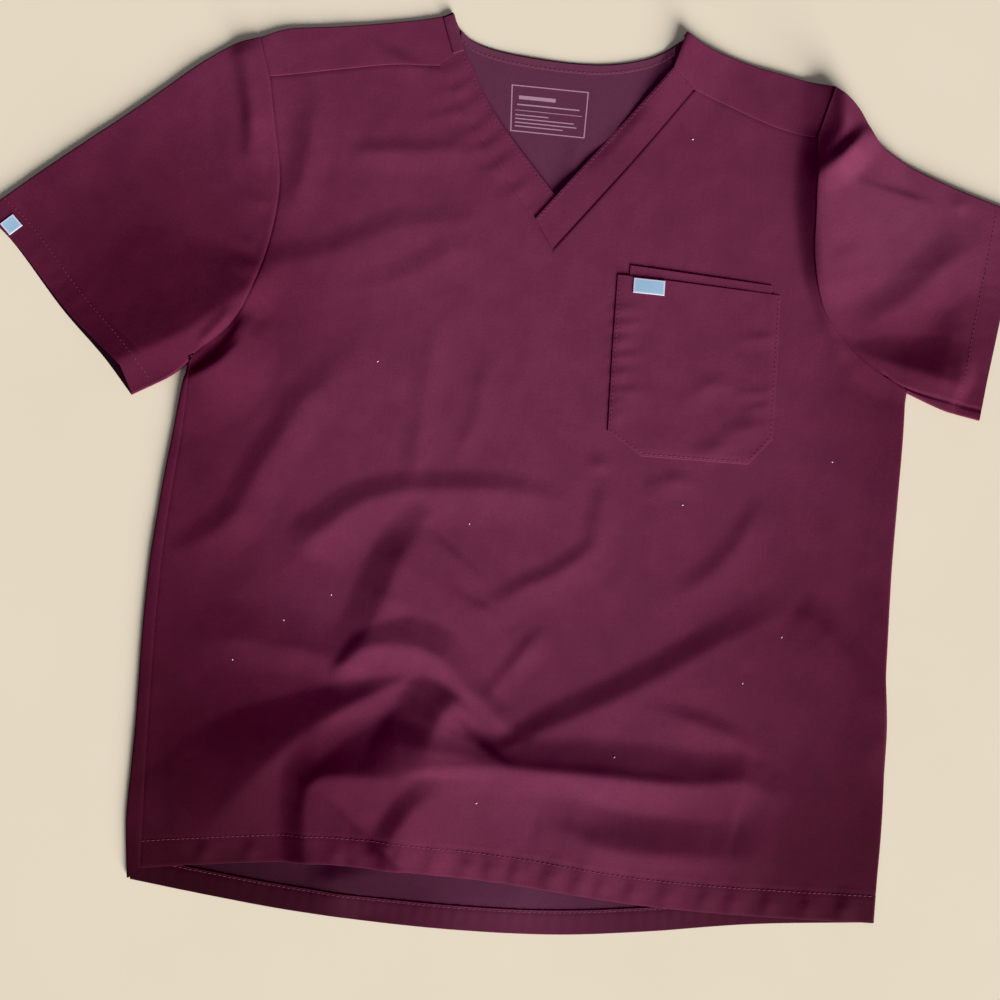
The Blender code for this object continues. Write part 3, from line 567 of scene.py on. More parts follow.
# the cut pieces' outlines, as they lie
frontHem = [(-277, -388), (-189, -376), (-122, -369.5), (-84, -369.5), (63, -378), (171, -386), (287, -388),
            (379, -386)]
backHem = [(-288, -399), (-222, -407), (-132, -416), (0, -421), (101, -418), (181, -409), (270, -396),
           (379, -386)]
backNeck = [(-58, 413), (-52, 403), (-41, 395), (-14, 387), (43, 381), (90, 382), (127, 391), (157, 409)]
tapeNeck = [(-53, 406), (-41, 396), (-14, 387.6), (43, 381.6), (90, 382.6), (127, 391.6), (150, 404)]
vPoint = (49, 202)
outlines = {
    "left": {
        "edge": [(-288, -399), (-294, -348), (-294, -277), (-296, -114), (-282, 40), (-275, 76)],
        "seam": [(-277, -388), (-282, -277), (-285, -113), (-277, 20), (-275, 76)],
        "armhole": [(-275, 76), (-242, 108), (-224, 148), (-211, 213), (-210, 250), (-217, 290), (-228, 346)],
        "yokeEnd": [(-228, 346), (-240, 382)],
        "yokeSeam": [(-228, 346), (-153, 360), (-118, 366), (-70, 369)],
        "bandTop": [(-70, 369), (-48, 385)],
        "neckEnd": [(-48, 385), (-61, 421)],
        "shoulder": [(-240, 382), (-216, 392), (-157, 400), (-71, 416), (-61, 421)],
        "neckSeam": [(-70, 369), (-44, 326), (-9, 279), (20, 240), (49, 202)],
        "neckEdge": [(-48, 385), (-16, 328), (46, 254), (68, 228)],
        "sleeveTop": [(-240, 382), (-269, 370), (-353, 302), (-440, 231), (-481, 195)],
        "sleeveHem": [(-329, 37), (-356, 68), (-399, 110), (-454, 172), (-481, 195)],
        "sleeveUnder": [(-275, 76), (-291, 60), (-329, 37)],
    },
    "right": {
        "edge": [(379, -386), (382, -280), (379, -190), (379, -62), (383, 49), (383, 94)],
        "armhole": [(383, 94), (345, 114), (321, 136), (302, 164), (291, 205), (288, 260), (287, 325)],
        "yokeEnd": [(287, 325), (300, 373)],
        "yokeSeam": [(170, 364), (193, 355), (248, 334), (287, 325)],
        "bandTop": [(149, 382), (170, 364)],
        "neckEnd": [(149, 382), (159, 417)],
        "shoulder": [(159, 417), (177, 406), (226, 390), (257, 383), (300, 373)],
        "neckSeam": [(49, 202), (114, 287), (170, 364)],
        "neckEdge": [(31, 229), (90, 306), (149, 382)],
        "sleeveTop": [(300, 373), (322, 355), (342, 326), (366, 309), (406, 291), (481, 266)],
        "sleeveHem": [(452, 73), (472, 198), (481, 266)],
        "sleeveUnder": [(383, 94), (420, 80), (452, 73)],
    },
}
lines = {side: {name: curve(knots) for name, knots in table.items()} for side, table in outlines.items()}


def shares(length, cell, fine=(0.5, 1.2, 2.2, 3.6)):
    # even cells with finer ones at both ends, as shares of the length
    inner = length - 2 * fine[-1]
    middle = np.linspace(0, inner, max(2, round(inner / cell)) + 1) + fine[-1]
    marks = np.concatenate([[0], fine[:-1], middle, length - np.array(fine[:-1])[::-1], [length]])
    return marks / length


def patch(bottom, top, left, right, across, up):
    # a grid between four edges: rows from bottom to top, columns from left to right
    u, v = across[None, :, None], up[:, None, None]
    return ((1 - v) * bottom[None] + v * top[None] + (1 - u) * left[:, None] + u * right[:, None]
            - (1 - u) * (1 - v) * bottom[0] - u * (1 - v) * bottom[-1]
            - (1 - u) * v * top[0] - u * v * top[-1])


def quad(corners, across, up):
    a, b, c, d = (np.array(corner, float) for corner in corners)
    u, v = across[None, :, None], up[:, None, None]
    return (1 - v) * ((1 - u) * a + u * b) + v * ((1 - u) * d + u * c)


def joinLines(*parts):
    return np.vstack([parts[0]] + [part[1:] for part in parts[1:]])


def raised(plan, height):
    return np.concatenate([plan, height[..., None]], axis=-1)


def outwardOf(row, beside):    # unit vectors in plan, from the row beside to the edge row
    away = row[:, :2] - beside[:, :2]
    run = np.gradient(row[:, :2], axis=0)
    normal = np.stack([run[:, 1], -run[:, 0]], -1)
    normal *= np.sign((normal * away).sum(-1, keepdims=True) + 1e-9)
    return normal / (np.linalg.norm(normal, axis=1, keepdims=True) + 1e-9)


def turnUnder(grid, radius, back, steps=6, follow=None):
    # the last row rolls over by the radius (one number, or one a point) and runs back below the cloth, along
    # the face that follow gives
    edge, outward = grid[-1], outwardOf(grid[-1], grid[-3])
    radius = np.broadcast_to(np.asarray(radius, float), (len(edge),))[:, None]
    rows = []
    for turn in np.linspace(0, np.pi, steps + 1)[1:]:
        rows.append(np.hstack([edge[:, :2] + outward * radius * np.sin(turn),
                               edge[:, 2:] - radius * (1 - np.cos(turn))]))
    for share in (0.25, 1.0) if follow is None else (0.1, 0.3, 0.5, 0.75, 1.0):
        plan = edge[:, :2] - outward * back * share
        low = rows[steps - 1][:, 2:]
        rows.append(np.hstack([plan, low if follow is None else follow(plan)[:, None] - 2 * radius]))
    return np.concatenate([grid, np.stack(rows)])


def placed(name, mesh, material):
    mesh.shade_smooth()
    mesh.materials.append(material)
    piece = bpy.data.objects.new(name, mesh)
    bpy.context.scene.collection.objects.link(piece)
    return piece


def addPiece(name, grids, material, wall=0.0, ring=False, grain=0.0, inner=None):
    grids = grids if isinstance(grids, list) else [grids]
    points, faces = [], []
    for grid in grids:
        rows, columns = grid.shape[:2]
        index = np.arange(rows * columns).reshape(rows, columns) + sum(len(p) for p in points)
        if ring:
            index = np.hstack([index, index[:, :1]])
        corners = index[:-1, :-1], index[:-1, 1:], index[1:, 1:], index[1:, :-1]
        faces.append(np.stack(corners, -1).reshape(-1, 4))
        points.append(grid.reshape(-1, 3))
    points, faces = np.concatenate(points), np.concatenate(faces)
    points[:, 2] = np.maximum(points[:, 2], 0.06)    # nothing sinks into the floor
    mesh = bpy.data.meshes.new(name)
    mesh.from_pydata(points * mm, [], faces.tolist())
    turn = np.array([[np.cos(grain), -np.sin(grain)], [np.sin(grain), np.cos(grain)]])
    flat = points[:, :2] @ turn * mm
    mesh.uv_layers.new(name="grain").data.foreach_set("uv", flat[faces.reshape(-1)].ravel())
    work = bmesh.new()
    work.from_mesh(mesh)
    if len(grids) > 1:
        bmesh.ops.remove_doubles(work, verts=work.verts, dist=0.00001)
    work.to_mesh(mesh)
    work.free()
    piece = placed(name, mesh, material)
    if inner:
        mesh.materials.append(inner)
    if wall:
        solid = piece.modifiers.new("clothWall", "SOLIDIFY")
        solid.thickness = wall * mm
        solid.offset = -1.0
        solid.material_offset = 1 if inner else 0
    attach(piece, "root")
    return piece


def flipped(grid):
    return grid[:, ::-1]


front = {
    "cell": 2.7, "sideRoll": 2.2, "hemRoll": 0.5, "hemDepth": 24.0,
    "width": {"left": 326, "right": 330}, "length": 783,
    "middle": [(49, -376.5), (49, -180), (49, 0)],    # from the hem up to the V
    "vShare": 0.735, "armShare": 0.63,    # how far up the V and the armholes begin
    "hemDriftFrom": 340, "hemDriftOver": 39,    # the hem's right end drifts in with the side
    "floorGap": 0.5, "underlap": 14.0,
    "seams": {    # the allowance's ridge, and the groove's dip, mm
        "left": [("yokeSeam", 0.0, 0.45), ("neckSeam", 0.2, 0.1), ("armhole", 0.0, 0.7, 8, 1.3),
                 ("seam", 0.0, 0.3)],
        "right": [("yokeSeam", 0.0, 0.45), ("neckSeam", 0.0, 0.65, 8, 1.2), ("armhole", 0.0, 0.0, 8, 1.2)],
    },
    "hemGroove": (0.0, 0.35),
    "hemRuck": (0.12, 11, 13.0, 21),    # depth, reach and pitch in mm, and the seed
}


def upRows(lower, upper, count, split):
    return joinLines(evenly(lower, split + 1), evenly(upper, count - split + 1))


def frontHalf(side):
    table = lines[side]
    centre = curve(front["middle"] + [vPoint], 8)
    count = round(front["length"] / front["cell"])
    arm, split = round(count * front["armShare"]), round(count * front["vShare"])
    hem = curve(frontHem, 20)
    at = np.abs(hem[:, 0] - vPoint[0]).argmin()
    hem[at] = front["middle"][0]
    if side == "left":
        hem = hem[:at + 1]
        sides = (upRows(table["seam"], table["armhole"], count, arm),
                 upRows(centre, table["neckSeam"][::-1], count, split))
    else:
        roll = front["sideRoll"]
        armhole = table["armhole"].copy()
        armhole[:6, 0] -= roll * np.linspace(1, 0, 6)
        hem = hem[at:].copy()
        hem[:, 0] -= roll * smooth((hem[:, 0] - front["hemDriftFrom"]) / front["hemDriftOver"])
        sides = (upRows(centre, table["neckSeam"], count, split),
                 upRows(table["edge"] - [roll, 0], armhole, count, arm))
    across, up = shares(front["width"][side], front["cell"]), np.linspace(0, 1, count + 1)
    return patch(along(hem, across), along(table["yokeSeam"], across), *sides, across, up)


def buildFront():
    stitchLine = curve(frontHem) + np.array([0, front["hemDepth"]])
    halves = []
    for side in bothSides:
        plan = frontHalf(side)
        height = lie(plan)
        for name, *groove in front["seams"][side]:
            height = seamed(plan, height, lines[side][name], *groove)
        height = seamed(plan, height, stitchLine, *front["hemGroove"])
        height = puckered(plan, height, stitchLine - np.array([0, 8]), *front["hemRuck"])
        halves.append(raised(plan, height))
    # the right side rolls under, down to the floor
    side = np.swapaxes(halves[1], 0, 1)
    under = turnUnder(side, (side[-1][:, 2] - front["floorGap"]) / 2, front["underlap"], 8)
    halves[1] = np.swapaxes(under, 0, 1)
    hems = [turnUnder(half[::-1], front["hemRoll"], front["hemDepth"], 6, lie)[::-1] for half in halves]
    return addPiece("frontPanel", hems, wineTwill)


frontPanel = buildFront()
print("front made")


back = {
    "cell": 4.2, "width": 670, "length": 800, "ends": (0.8, 2.0, 3.6),
    "sideRoll": 2.2, "rightInset": 4, "neckDrop": 1.5,    # mm that it stays inside the upper layer's outline
    "hemWall": 0.6, "hemRoll": 0.5, "stitchUp": 18.7, "hemGroove": (0.0, 0.3),
    "hemMarks": (0.0, 0.4, 1.0, 2.0, 4.5, 8, 11.5, 15, 17.5, 18.8, 19.6, 20.2, 20.6),    # mm up
    "hemRuck": (0.35, 8, 12.0, 31),    # depth, reach and pitch in mm, and the seed
    "stripRows": 170, "stripGroove": (0.15, 0.3, 6.0),
    "stripMarks": (0, 0.5, 1.2, 2.4, 4.4, 6.4, 8.0, 9.3),    # mm from the side seam to the rolled edge
    "stripUnder": 16.0, "floorGap": 0.6,
}


backFolds = {    # columns as in folds
    "neckStem": ([(66, 262), (65, 276), (63, 292), (62, 310)], (0.2, 1.1, 1.1, 0), 13, 9, 2, 1.2),
    "neckEnd": ([(126, 350), (139, 368), (149, 384), (157, 408)], (0.3, 2.0, 3.8, 4.4), 11, 8, 1.5, 1.1),
    "neckSide": ([(84, 300), (104, 313), (124, 332)], (0, 1.6, 0.6), 12, 20, 2, 1.2),
    "hemArch": ([(-94, -420), (-98, -400), (-102, -384), (-105, -366)], (0, 3.6, 4.5, 0.5), 26, 60, 3, 1.2),
    "hemFar": ([(60, -420), (64, -396), (66, -376)], (0, 0.9, 1.2), 40, 40, 4, 1.2),
}


def backFace(plan):
    flat = plan.reshape(-1, 2)
    ripple = 0.25 * cloudy(flat, (40, 60), 13) + 0.12 * cloudy(flat, (17, 22), 15)
    stands = foldRise(flat, list(backFolds.values()))
    return (lay["under"] + np.maximum(ripple, -0.3) + stands).reshape(plan.shape[:-1])


def buildBack():
    left, right = lines["left"], lines["right"]
    roll, drawn, drop = [back["sideRoll"], 0], [back["rightInset"], 0], [0, back["neckDrop"]]
    leftSide = joinLines(left["edge"] + roll, left["armhole"] + roll, left["yokeEnd"])
    rightSide = joinLines(right["edge"] - drawn, right["armhole"] - drawn, right["yokeEnd"])
    top = joinLines(left["shoulder"] - drop, curve(backNeck), right["shoulder"] - drop)
    across = shares(back["width"], back["cell"], back["ends"])
    up = np.linspace(0, 1, round(back["length"] / back["cell"]) + 1)
    plan = patch(along(curve(backHem), across), along(top, across), along(leftSide, up), along(rightSide, up),
                 across, up)
    hem = turnUnder(raised(plan, backFace(plan))[::-1], back["hemRoll"], 3.0)[::-1]
    return addPiece("backPanel", flipped(hem), innerTwill)


def buildSideStrip():
    # the back's cloth comes round the left side and lies on top as far as the side seam
    edge, seam = (evenly(lines["left"][name], back["stripRows"]) for name in ("edge", "seam"))
    away = seam - edge
    rolled = edge + away / np.linalg.norm(away + 1e-6, axis=1, keepdims=True) * back["sideRoll"]
    rolled[-6:] = edge[-6:] + away[-6:] * 0.5
    marks = np.array(back["stripMarks"]) / back["stripMarks"][-1]
    plan = seam[None] + (rolled - seam)[None] * marks[:, None, None]
    grid = raised(plan, seamed(plan, lie(plan), lines["left"]["seam"], *back["stripGroove"]))
    grid = turnUnder(grid, (grid[-1][:, 2] - back["floorGap"]) / 2, back["stripUnder"], 8)
    return addPiece("backSideStrip", grid, wineTwill)


def buildBackHem():
    # the hem is turned up on the inside, which shows below the front
    hem = curve(backHem)
    across = np.linspace(0.0, 1.0, 200)
    low = along(hem, across) + np.array([2.5, 0]) * (1 - across[:, None] * 2)
    marks = np.array(back["hemMarks"])[:, None, None]
    plan = low[None] + np.array([0, 1])[None, None] * marks
    height = backFace(plan) + back["hemWall"]
    height = puckered(plan, height, hem + np.array([0, 12]), *back["hemRuck"])
    height = seamed(plan, height, hem + np.array([0, back["stitchUp"]]), *back["hemGroove"])
    grid = turnUnder(raised(plan, height), 0.4, 2.0, 4)
    grid = turnUnder(grid[::-1], back["hemRoll"], 6.0, 5)
    return addPiece("backHem", grid, tapeTwill)


backPanel = buildBack()
sideStrip = buildSideStrip()
backHemTurn = buildBackHem()
print("back made")


yoke = {"cell": 2.6, "width": 186, "depth": 34, "roll": 1.2, "under": 4.0, "wall": 0.4, "drop": 1.6}
band = {
    "cell": 2.6, "length": 215, "width": 25.5, "wall": 1.5, "under": 20.0,
    "crossRise": 1.5, "crossLength": 58.0,    # mm, where the right one laps over the left one
    "ruck": (0.1, 16, 15.0, 41),    # depth, reach and pitch in mm, and the seed
    "sag": 1.2, "sagFrom": 268, "sagTo": 330,    # mm, how far its edge sinks, and where
}


def buildYoke(side):
    table = lines[side]
    seams, ends = [table["yokeSeam"], table["bandTop"]], [table["yokeEnd"], table["neckEnd"]]
    if side == "right":    # from the left to the right in either case
        seams.reverse()
        ends.reverse()
    across, up = shares(yoke["width"], yoke["cell"]), shares(yoke["depth"], 2.2, (0.5, 1.2, 2.2))
    top = table["shoulder"] - [0, yoke["drop"]]
    plan = patch(along(joinLines(*seams), across), along(top, across), along(ends[0], up), along(ends[1], up),
                 across, up)
    height = lie(plan)
    for name, dip in (("yokeSeam", 0.1), ("bandTop", 0.1 if side == "left" else 0.4), ("yokeEnd", 0.7)):
        height = seamed(plan, height, table[name], 0.0, dip)
    grid = turnUnder(raised(plan, height), yoke["roll"], yoke["under"])
    return addPiece("yoke" + side.capitalize(), grid, wineTwill, yoke["wall"])


def buildNeckband(side):
    table = lines[side]
    steps, width = shares(band["length"], band["cell"]), shares(band["width"], 2.0, (0.5, 1.2, 2.2))
    outer, inner = (along(table[name], steps) for name in ("neckSeam", "neckEdge"))
    plan = outer[None] + (inner - outer)[None] * width[:, None, None]
    height = seamed(plan, lie(plan), table["neckSeam"], 0.0, 0.3 if side == "left" else 0.0)
    if side == "left":
        height = puckered(plan, height, table["neckSeam"], *band["ruck"])
    else:
        away, y = np.linalg.norm(plan - outer[0], axis=-1), plan[..., 1]
        height = height + band["crossRise"] * (1 - smooth((away - band["crossLength"]) / band["crossLength"]))
        sunk = smooth((width - 0.6) / 0.4)[:, None] * smooth((y - band["sagFrom"]) / 36)
        height = height - band["sag"] * (sunk * (1 - smooth((y - band["sagTo"]) / 30)))
    grid = turnUnder(raised(plan, height), band["wall"] / 2, band["under"])
    return addPiece("neckband" + side.capitalize(), grid, wineTwill)


def buildNeckTape():
    line = evenly(curve(tapeNeck), 90)
    marks = np.array([0, 0.4, 1.0, 3.0, 5.0, 7.0, 8.2, 8.7, 9.0])[:, None, None]
    plan = line[None] - np.array([0, 1.0])[None, None] * marks - np.array([0, 0.2])
    return addPiece("neckTape", raised(plan, backFace(plan) + 0.4), neckTwill, 0.3)


yokes = [buildYoke(side) for side in bothSides]
neckbands = [buildNeckband(side) for side in bothSides]
neckTape = buildNeckTape()
print("yokes and neckbands made")


sleeve = {
    "cell": 3.0, "wall": 0.8, "hemDepth": 24.0, "girth": 300, "length": {"left": 240, "right": 170},
    "drawnBack": {"left": (1.5, 9.0, 5.5, 3.2, 2.4, 2.0, 1.5, 0.8, 0.0), "right": (0.0, 1.5, 1.5, 0.0)},
    "drawnOver": 70,    # mm from the hem
    "armhole": {"left": (0.12, 0.4, 5.0), "right": (0.0, -0.6, 5.0, 1.6)},
    "hemGroove": (0.0, 0.35), "hemRuck": (0.1, 10, 17.0, 51),
    "underFold": [(362, 107), (371, 100), (396, 92), (425, 86), (452, 81)],
    "underGroove": (0.0, 1.5, 8, 1.3), "lowerDrop": 0.4, "fold": 2.0,
}


def sideRun(upper, lower, edge, low):
    # the cloth's way round a folded side, from the upper layer's edge down to the lower one's
    top, out = upper[:, edge], outwardOf(upper[:, edge], upper[:, edge - 2 if edge else 2])
    radius = (top[:, 2:] - low) / 2
    run = []
    for turn in np.linspace(0, np.pi, 8)[1:-1]:
        plan = (top[:, :2] * (1 + np.cos(turn)) + lower[:, edge, :2] * (1 - np.cos(turn))) / 2
        bulge = out * np.minimum(radius, sleeve["fold"]) * np.sin(turn)
        run.append(np.hstack([plan + bulge, low + radius * (1 + np.cos(turn))]))
    return np.stack(run, axis=1)


def buildSleeve(side):
    table = lines[side]
    armhole = joinLines(table["armhole"], table["yokeEnd"])
    long = sleeve["length"][side]
    across, up = shares(sleeve["girth"], sleeve["cell"]), shares(long, sleeve["cell"], (0.5, 1.2, 2.2))
    plan = patch(along(armhole, across), along(table["sleeveHem"], across), along(table["sleeveUnder"], up),
                 along(table["sleeveTop"], up), across, up)
    inward = plan[-12] - plan[-1]
    inward /= np.linalg.norm(inward, axis=1, keepdims=True)
    drawn = sleeve["drawnBack"][side]
    drawn = np.interp(across, np.linspace(0, 1, len(drawn)), drawn)[:, None] * inward
    near = smooth(1 - (1 - up) * long / sleeve["drawnOver"])[:, None, None]
    upperPlan = plan + drawn[None] * near
    height = seamed(upperPlan, lie(upperPlan), armhole, *sleeve["armhole"][side])
    if side == "right":    # the lower layer shows past the upper one's fold
        height = seamed(upperPlan, height, curve(sleeve["underFold"]), *sleeve["underGroove"])
    depth = inward * sleeve["hemDepth"]
    height = seamed(upperPlan, height, upperPlan[-1] + depth, *sleeve["hemGroove"])
    height = puckered(upperPlan, height, upperPlan[-1] + depth * 0.5, *sleeve["hemRuck"])
    low = lay["under"] - sleeve["lowerDrop"]
    upper, lower = raised(upperPlan, height), raised(plan, np.full(height.shape, low))
    first, last = (sideRun(upper, lower, edge, low) for edge in (0, -1))
    ring = np.concatenate([upper, last, lower[:, ::-1], first[:, ::-1]], axis=1)
    grain = np.arctan2(*(table["sleeveTop"][-1] - table["sleeveTop"][0]))
    ring = ring if side == "left" else flipped(ring)
    return addPiece("sleeve" + side.capitalize(), ring, wineTwill, sleeve["wall"], True, grain, shadedTwill)


sleeves = [buildSleeve(side) for side in bothSides]
print("sleeves made")


pocket = {
    "top": [(111, 182), (154, 180), (262, 174)],
    "right": [(263, 40), (263, 118), (262, 174)],
    "left": [(112, 36), (111, 110), (111, 182)],
    "bottom": [(112, 36), (144, 15), (242, 15), (263, 40)],
    "inner": [(122, 40), (252, 40), (254, 183), (122, 192)],
    "stitched": [(261, 172), (261, 41), (241, 17), (145, 17), (114, 37), (113, 180)],
    "sides": (111, 262), "ends": (15, 182), "width": 151, "length": 160,
    "innerWidth": 130, "innerLength": 146,
    "wall": 1.1, "gape": 0.6, "cell": 2.2, "turned": 0.32,
    "share": 0.55,    # of the outer one's rise, where the inner one lies
}
tags = {
    "pocketTag": [(126, 166), (155, 165), (155, 179), (126, 180)],
    "sleeveTag": [(-455, 176), (-444, 186), (-454, 196), (-465, 186)],
}


def pocketRise(plan):    # how far the outer pocket's face stands off the front
    (left, right), (low, mouth) = pocket["sides"], pocket["ends"]
    x, y = plan[..., 0], plan[..., 1]
    sides = np.minimum(x - left, right - x)
    over = np.clip(np.minimum(sides, y - low) / 6, 0, 1) * 0.5
    gape = pocket["gape"] * smooth(sides / 40) * np.exp(-((mouth - y) / 30) ** 2)
    return pocket["wall"] * (1 - 0.65 * smooth((x - left) / (right - left))) + over + gape


def buildPocketOuter():
    across, up = shares(pocket["width"], pocket["cell"]), shares(pocket["length"], pocket["cell"])
    bottom, top, left, right = (np.array(pocket[name], float) for name in ("bottom", "top", "left", "right"))
    plan = patch(along(bottom, across), along(top, across), along(left, up), along(right, up), across, up)
    grid = raised(plan, lie(plan) + pocketRise(plan))
    for quarter in range(4):    # its edges are turned in all round
        grid = np.rot90(turnUnder(grid, pocket["turned"], 1.0, 3))
    return addPiece("pocketOuter", grid, wineTwill)


def buildPocketInner():
    plan = quad(pocket["inner"], shares(pocket["innerWidth"], 3.0), shares(pocket["innerLength"], 3.0))
    height = lie(plan) + pocket["share"] * pocketRise(plan)
    return addPiece("pocketInner", raised(plan, height), wineTwill, 0.4)


def buildTag(name, lift):
    corners = tags[name]
    across, up = ((1 - np.cos(np.linspace(0, np.pi, count))) / 2 for count in (14, 10))
    plan = quad(corners, across, up)
    tag = addPiece(name, raised(plan, lie(plan) + lift(plan) + 0.8), tagRibbon, 0.5)
    long, wide = (np.linalg.norm(np.subtract(corners[0], corners[k])) for k in (1, 3))
    # mm from each point to the ribbon's edge
    rim = np.minimum(np.minimum(across, 1 - across)[None] * long, np.minimum(up, 1 - up)[:, None] * wide)
    tag.data.attributes.new("rim", "FLOAT", "POINT").data.foreach_set("value", rim.ravel())
    return tag


pocketOuter = buildPocketOuter()
pocketInner = buildPocketInner()
pocketTag = buildTag("pocketTag", pocketRise)
sleeveTag = buildTag("sleeveTag", lambda plan: 0.0)
print("pockets and tags made")


stitch = {"length": 3.2, "gap": 1.3, "thick": 0.5}    # mm; a little longer than sewn, so that they read
topstitch = {"hem": 23.0, "sleeve": 23.0, "band": 2.2, "tape": 7.6}    # mm inside its edge
printed = {
    "corners": [(1, 312), (71, 310), (72, 355), (-1, 357)],
    "line": 1.1, "width": 71.0, "height": 45.0,    # mm
    "bars": [(0.06, 0.94, 0.455, 0.47), (0.10, 0.58, 0.70, 0.78), (0.08, 0.90, 0.57, 0.60),
             (0.06, 0.50, 0.35, 0.375), (0.06, 0.84, 0.27, 0.295), (0.06, 0.88, 0.19, 0.215),
             (0.06, 0.70, 0.11, 0.135)],    # left, right, bottom and top as shares
}
turnedEnd = [(-58, 381), (-48, 385), (-60, 420), (-70, 415.5)]
lint = {
    "length": 1.7, "thick": 0.9,
    "spots": [(-104, 84), (-128, -133), (-169, -159), (-212, -198), (18, -308), (185, -27), (249, -184),
              (138, -258), (-8, -59), (172, 316), (319, 23), (282, -140)],
}


def topOf(*pieces):    # height of these pieces' upper face at places in plan
    trees = [BVHTree.FromObject(piece, bpy.context.evaluated_depsgraph_get()) for piece in pieces]
    down = Vector((0, 0, -1))

    def height(places):
        level = np.full(len(places), np.nan)
        for tree in trees:
            hits = [tree.ray_cast(Vector((place[0], place[1], 100.0)) * mm, down)[0] for place in places]
            level = np.fmax(level, [np.nan if hit is None else hit.z / mm for hit in hits])
        return level
    return height


def addBeads(name, centres, runs, thread, top, material):
    # thread beads: each one lies on the cloth and sinks into it at both ends
    across = np.stack([-runs[:, 1], runs[:, 0]], -1)
    rings = []
    for shift, swell in ((-0.5, 0.45), (-0.3, 1.0), (0.3, 1.0), (0.5, 0.45)):
        at = centres + runs * thread["length"] * shift
        level = top(at) + 0.12 * (swell - 0.5)
        half = swell * thread["thick"] / 2
        corners = [np.column_stack([at + across * side * half, level + lift * half])
                   for side, lift in ((1, 0), (0, 1), (-1, 0), (0, -1))]
        rings.append(np.stack(corners, 1))
    beads = np.stack(rings, 1)
    beads = beads[np.isfinite(beads).all(axis=(1, 2, 3))]
    walls = [[r + k, r + (k + 1) % 4, r + 4 + (k + 1) % 4, r + 4 + k] for r in (0, 4, 8) for k in range(4)]
    bead = np.array(walls + [[3, 2, 1, 0], [12, 13, 14, 15]])
    faces = bead[None] + 16 * np.arange(len(beads))[:, None, None]
    mesh = bpy.data.meshes.new(name)
    mesh.from_pydata(beads.reshape(-1, 3) * mm, [], faces.reshape(-1, 4).tolist())
    piece = placed(name, mesh, material)
    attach(piece, "root")
    return piece


def addStitches(name, rows, piece, material=wineThread):
    centres, runs = [], []
    for row in rows:
        far = lengths(row)
        marks = np.arange(stitch["length"], far[-1] - stitch["length"] / 2, stitch["length"] + stitch["gap"])
        before, after = (np.stack([np.interp(marks + shift, far, row[:, k]) for k in (0, 1)], -1)
                         for shift in (-0.5, 0.5))
        centres.append((before + after) / 2)
        runs.append((after - before) / np.linalg.norm(after - before, axis=1, keepdims=True))
    return addBeads(name, np.vstack(centres), np.vstack(runs), stitch, topOf(piece), material)


def inset(line, by):    # the same line moved to its left by this much
    run = np.gradient(line, axis=0)
    run /= np.linalg.norm(run, axis=1, keepdims=True)
    return line + np.stack([-run[:, 1], run[:, 0]], -1) * by


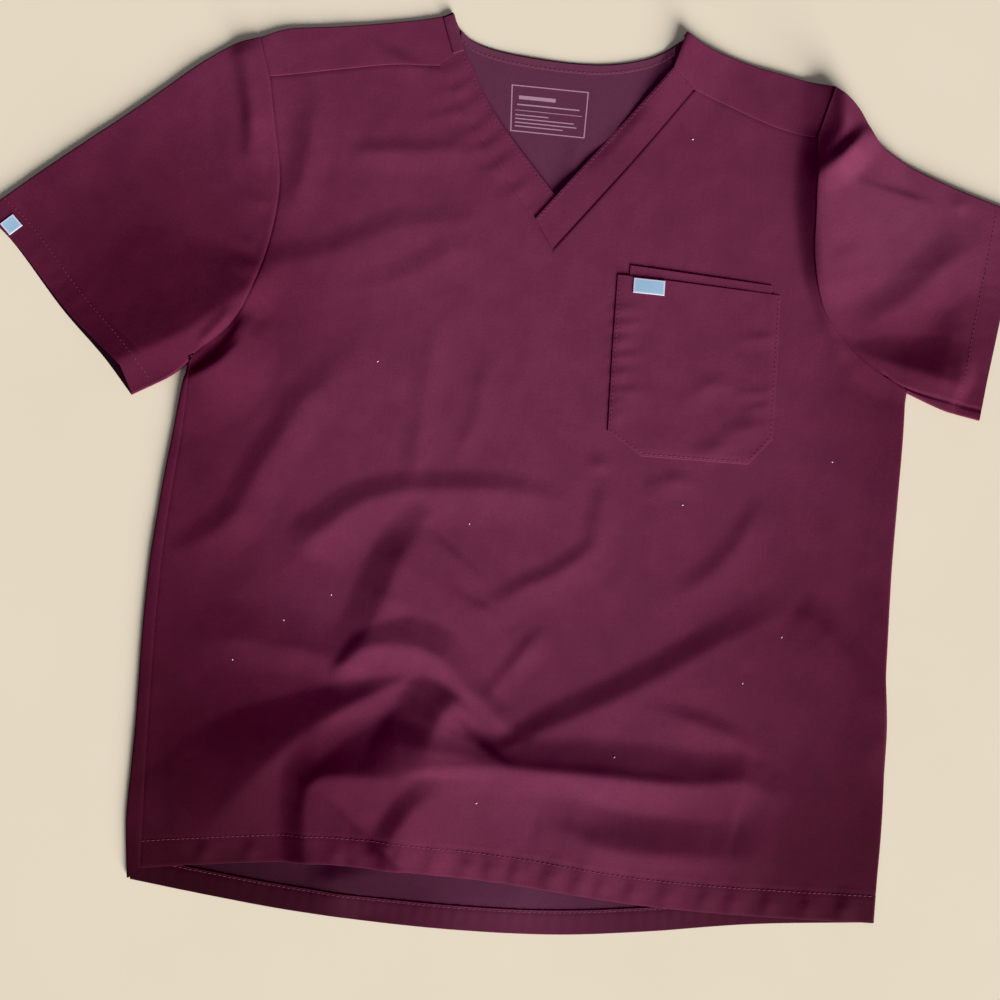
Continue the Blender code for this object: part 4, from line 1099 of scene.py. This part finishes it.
def addStitching():
    made = {}

    def sew(name, rows, *given):
        made[name] = addStitches(name, rows, *given)

    sew("frontStitches", [inset(evenly(curve(frontHem), 160), topstitch["hem"])], frontPanel)
    sew("backHemStitches", [inset(evenly(curve(backHem), 160), back["stitchUp"])], backHemTurn)
    for side, way, arm in zip(bothSides, (-1, 1), sleeves):
        row = inset(evenly(lines[side]["sleeveHem"], 80), way * topstitch["sleeve"])
        sew("sleeveStitches" + side.capitalize(), [row], arm)
    for side, way, neckband in zip(bothSides, (-1, 1), neckbands):
        edge = evenly(lines[side]["neckEdge"], 80)[::way]
        away = evenly(lines[side]["neckSeam"], 80)[::way] - edge
        away /= np.linalg.norm(away, axis=1, keepdims=True)
        sew("neckbandStitches" + side.capitalize(), [edge + away * topstitch["band"]], neckband)
    ring = np.array(pocket["stitched"], float)
    sew("pocketStitches", [ring[k:k + 2] for k in range(len(ring) - 1)], pocketOuter)
    sew("tapeStitches", [evenly(curve(tapeNeck), 60) - [0, topstitch["tape"]]], neckTape, tapeThread)
    return made


def addNeckPrint():
    # a heat-transferred frame with plain bars, thin as ink
    u, v = printed["line"] / printed["width"], printed["line"] / printed["height"]
    bars = printed["bars"] + [(0, 1, 0, v), (0, 1, 1 - v, 1), (0, u, v, 1 - v), (1 - u, 1, v, 1 - v)]
    strips = []
    for u0, u1, v0, v1 in bars:
        plan = quad(printed["corners"], np.linspace(u0, u1, max(2, int((u1 - u0) * 24))),
                    np.linspace(v0, v1, max(2, int((v1 - v0) * 18))))
        strips.append(raised(plan, backFace(plan) + 0.14))
    return addPiece("neckPrint", strips, printInk)


def addTurnedTape():
    # the end of the neck's tape stands turned out over the left yoke
    columns = np.arange(14)
    plan = quad(turnedEnd, np.linspace(0, 1, len(columns)), np.linspace(0, 1, 40))
    edges = np.minimum(columns, columns[::-1])[None, :] / 3
    ripple = cloudy(plan.reshape(-1, 2), (9, 7), 61).reshape(plan.shape[:2])
    height = lie(plan) + 1.0 + 0.5 * smooth(edges) + 0.2 * ripple
    return addPiece("turnedTape", raised(plan, height), tapeTwill, 0.5)


def addLint():
    spots = np.array(lint["spots"], float)
    turns = np.random.default_rng(71).uniform(0, np.pi, len(spots))
    runs = np.stack([np.cos(turns), np.sin(turns)], -1)
    return addBeads("lint", spots, runs, lint, topOf(frontPanel, pocketOuter), lintFibre)


stitches = addStitching()
neckPrint = addNeckPrint()
turnedTape = addTurnedTape()
lintSpecks = addLint()
print("stitches, print and lint made")


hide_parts("front")
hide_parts("back")
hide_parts("yoke_left")
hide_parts("yoke_right")
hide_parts("neckband_left")
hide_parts("neckband_right")
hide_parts("neck_tape")
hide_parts("sleeve_left")
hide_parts("sleeve_right")
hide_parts("pocket_outer")
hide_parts("pocket_inner")
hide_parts("label_pocket")
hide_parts("label_sleeve")

# a loop over each side's yoke, neckband and sleeve, which does nothing
for side, yoke, neckband, arm in zip(bothSides, yokes, neckbands, sleeves):
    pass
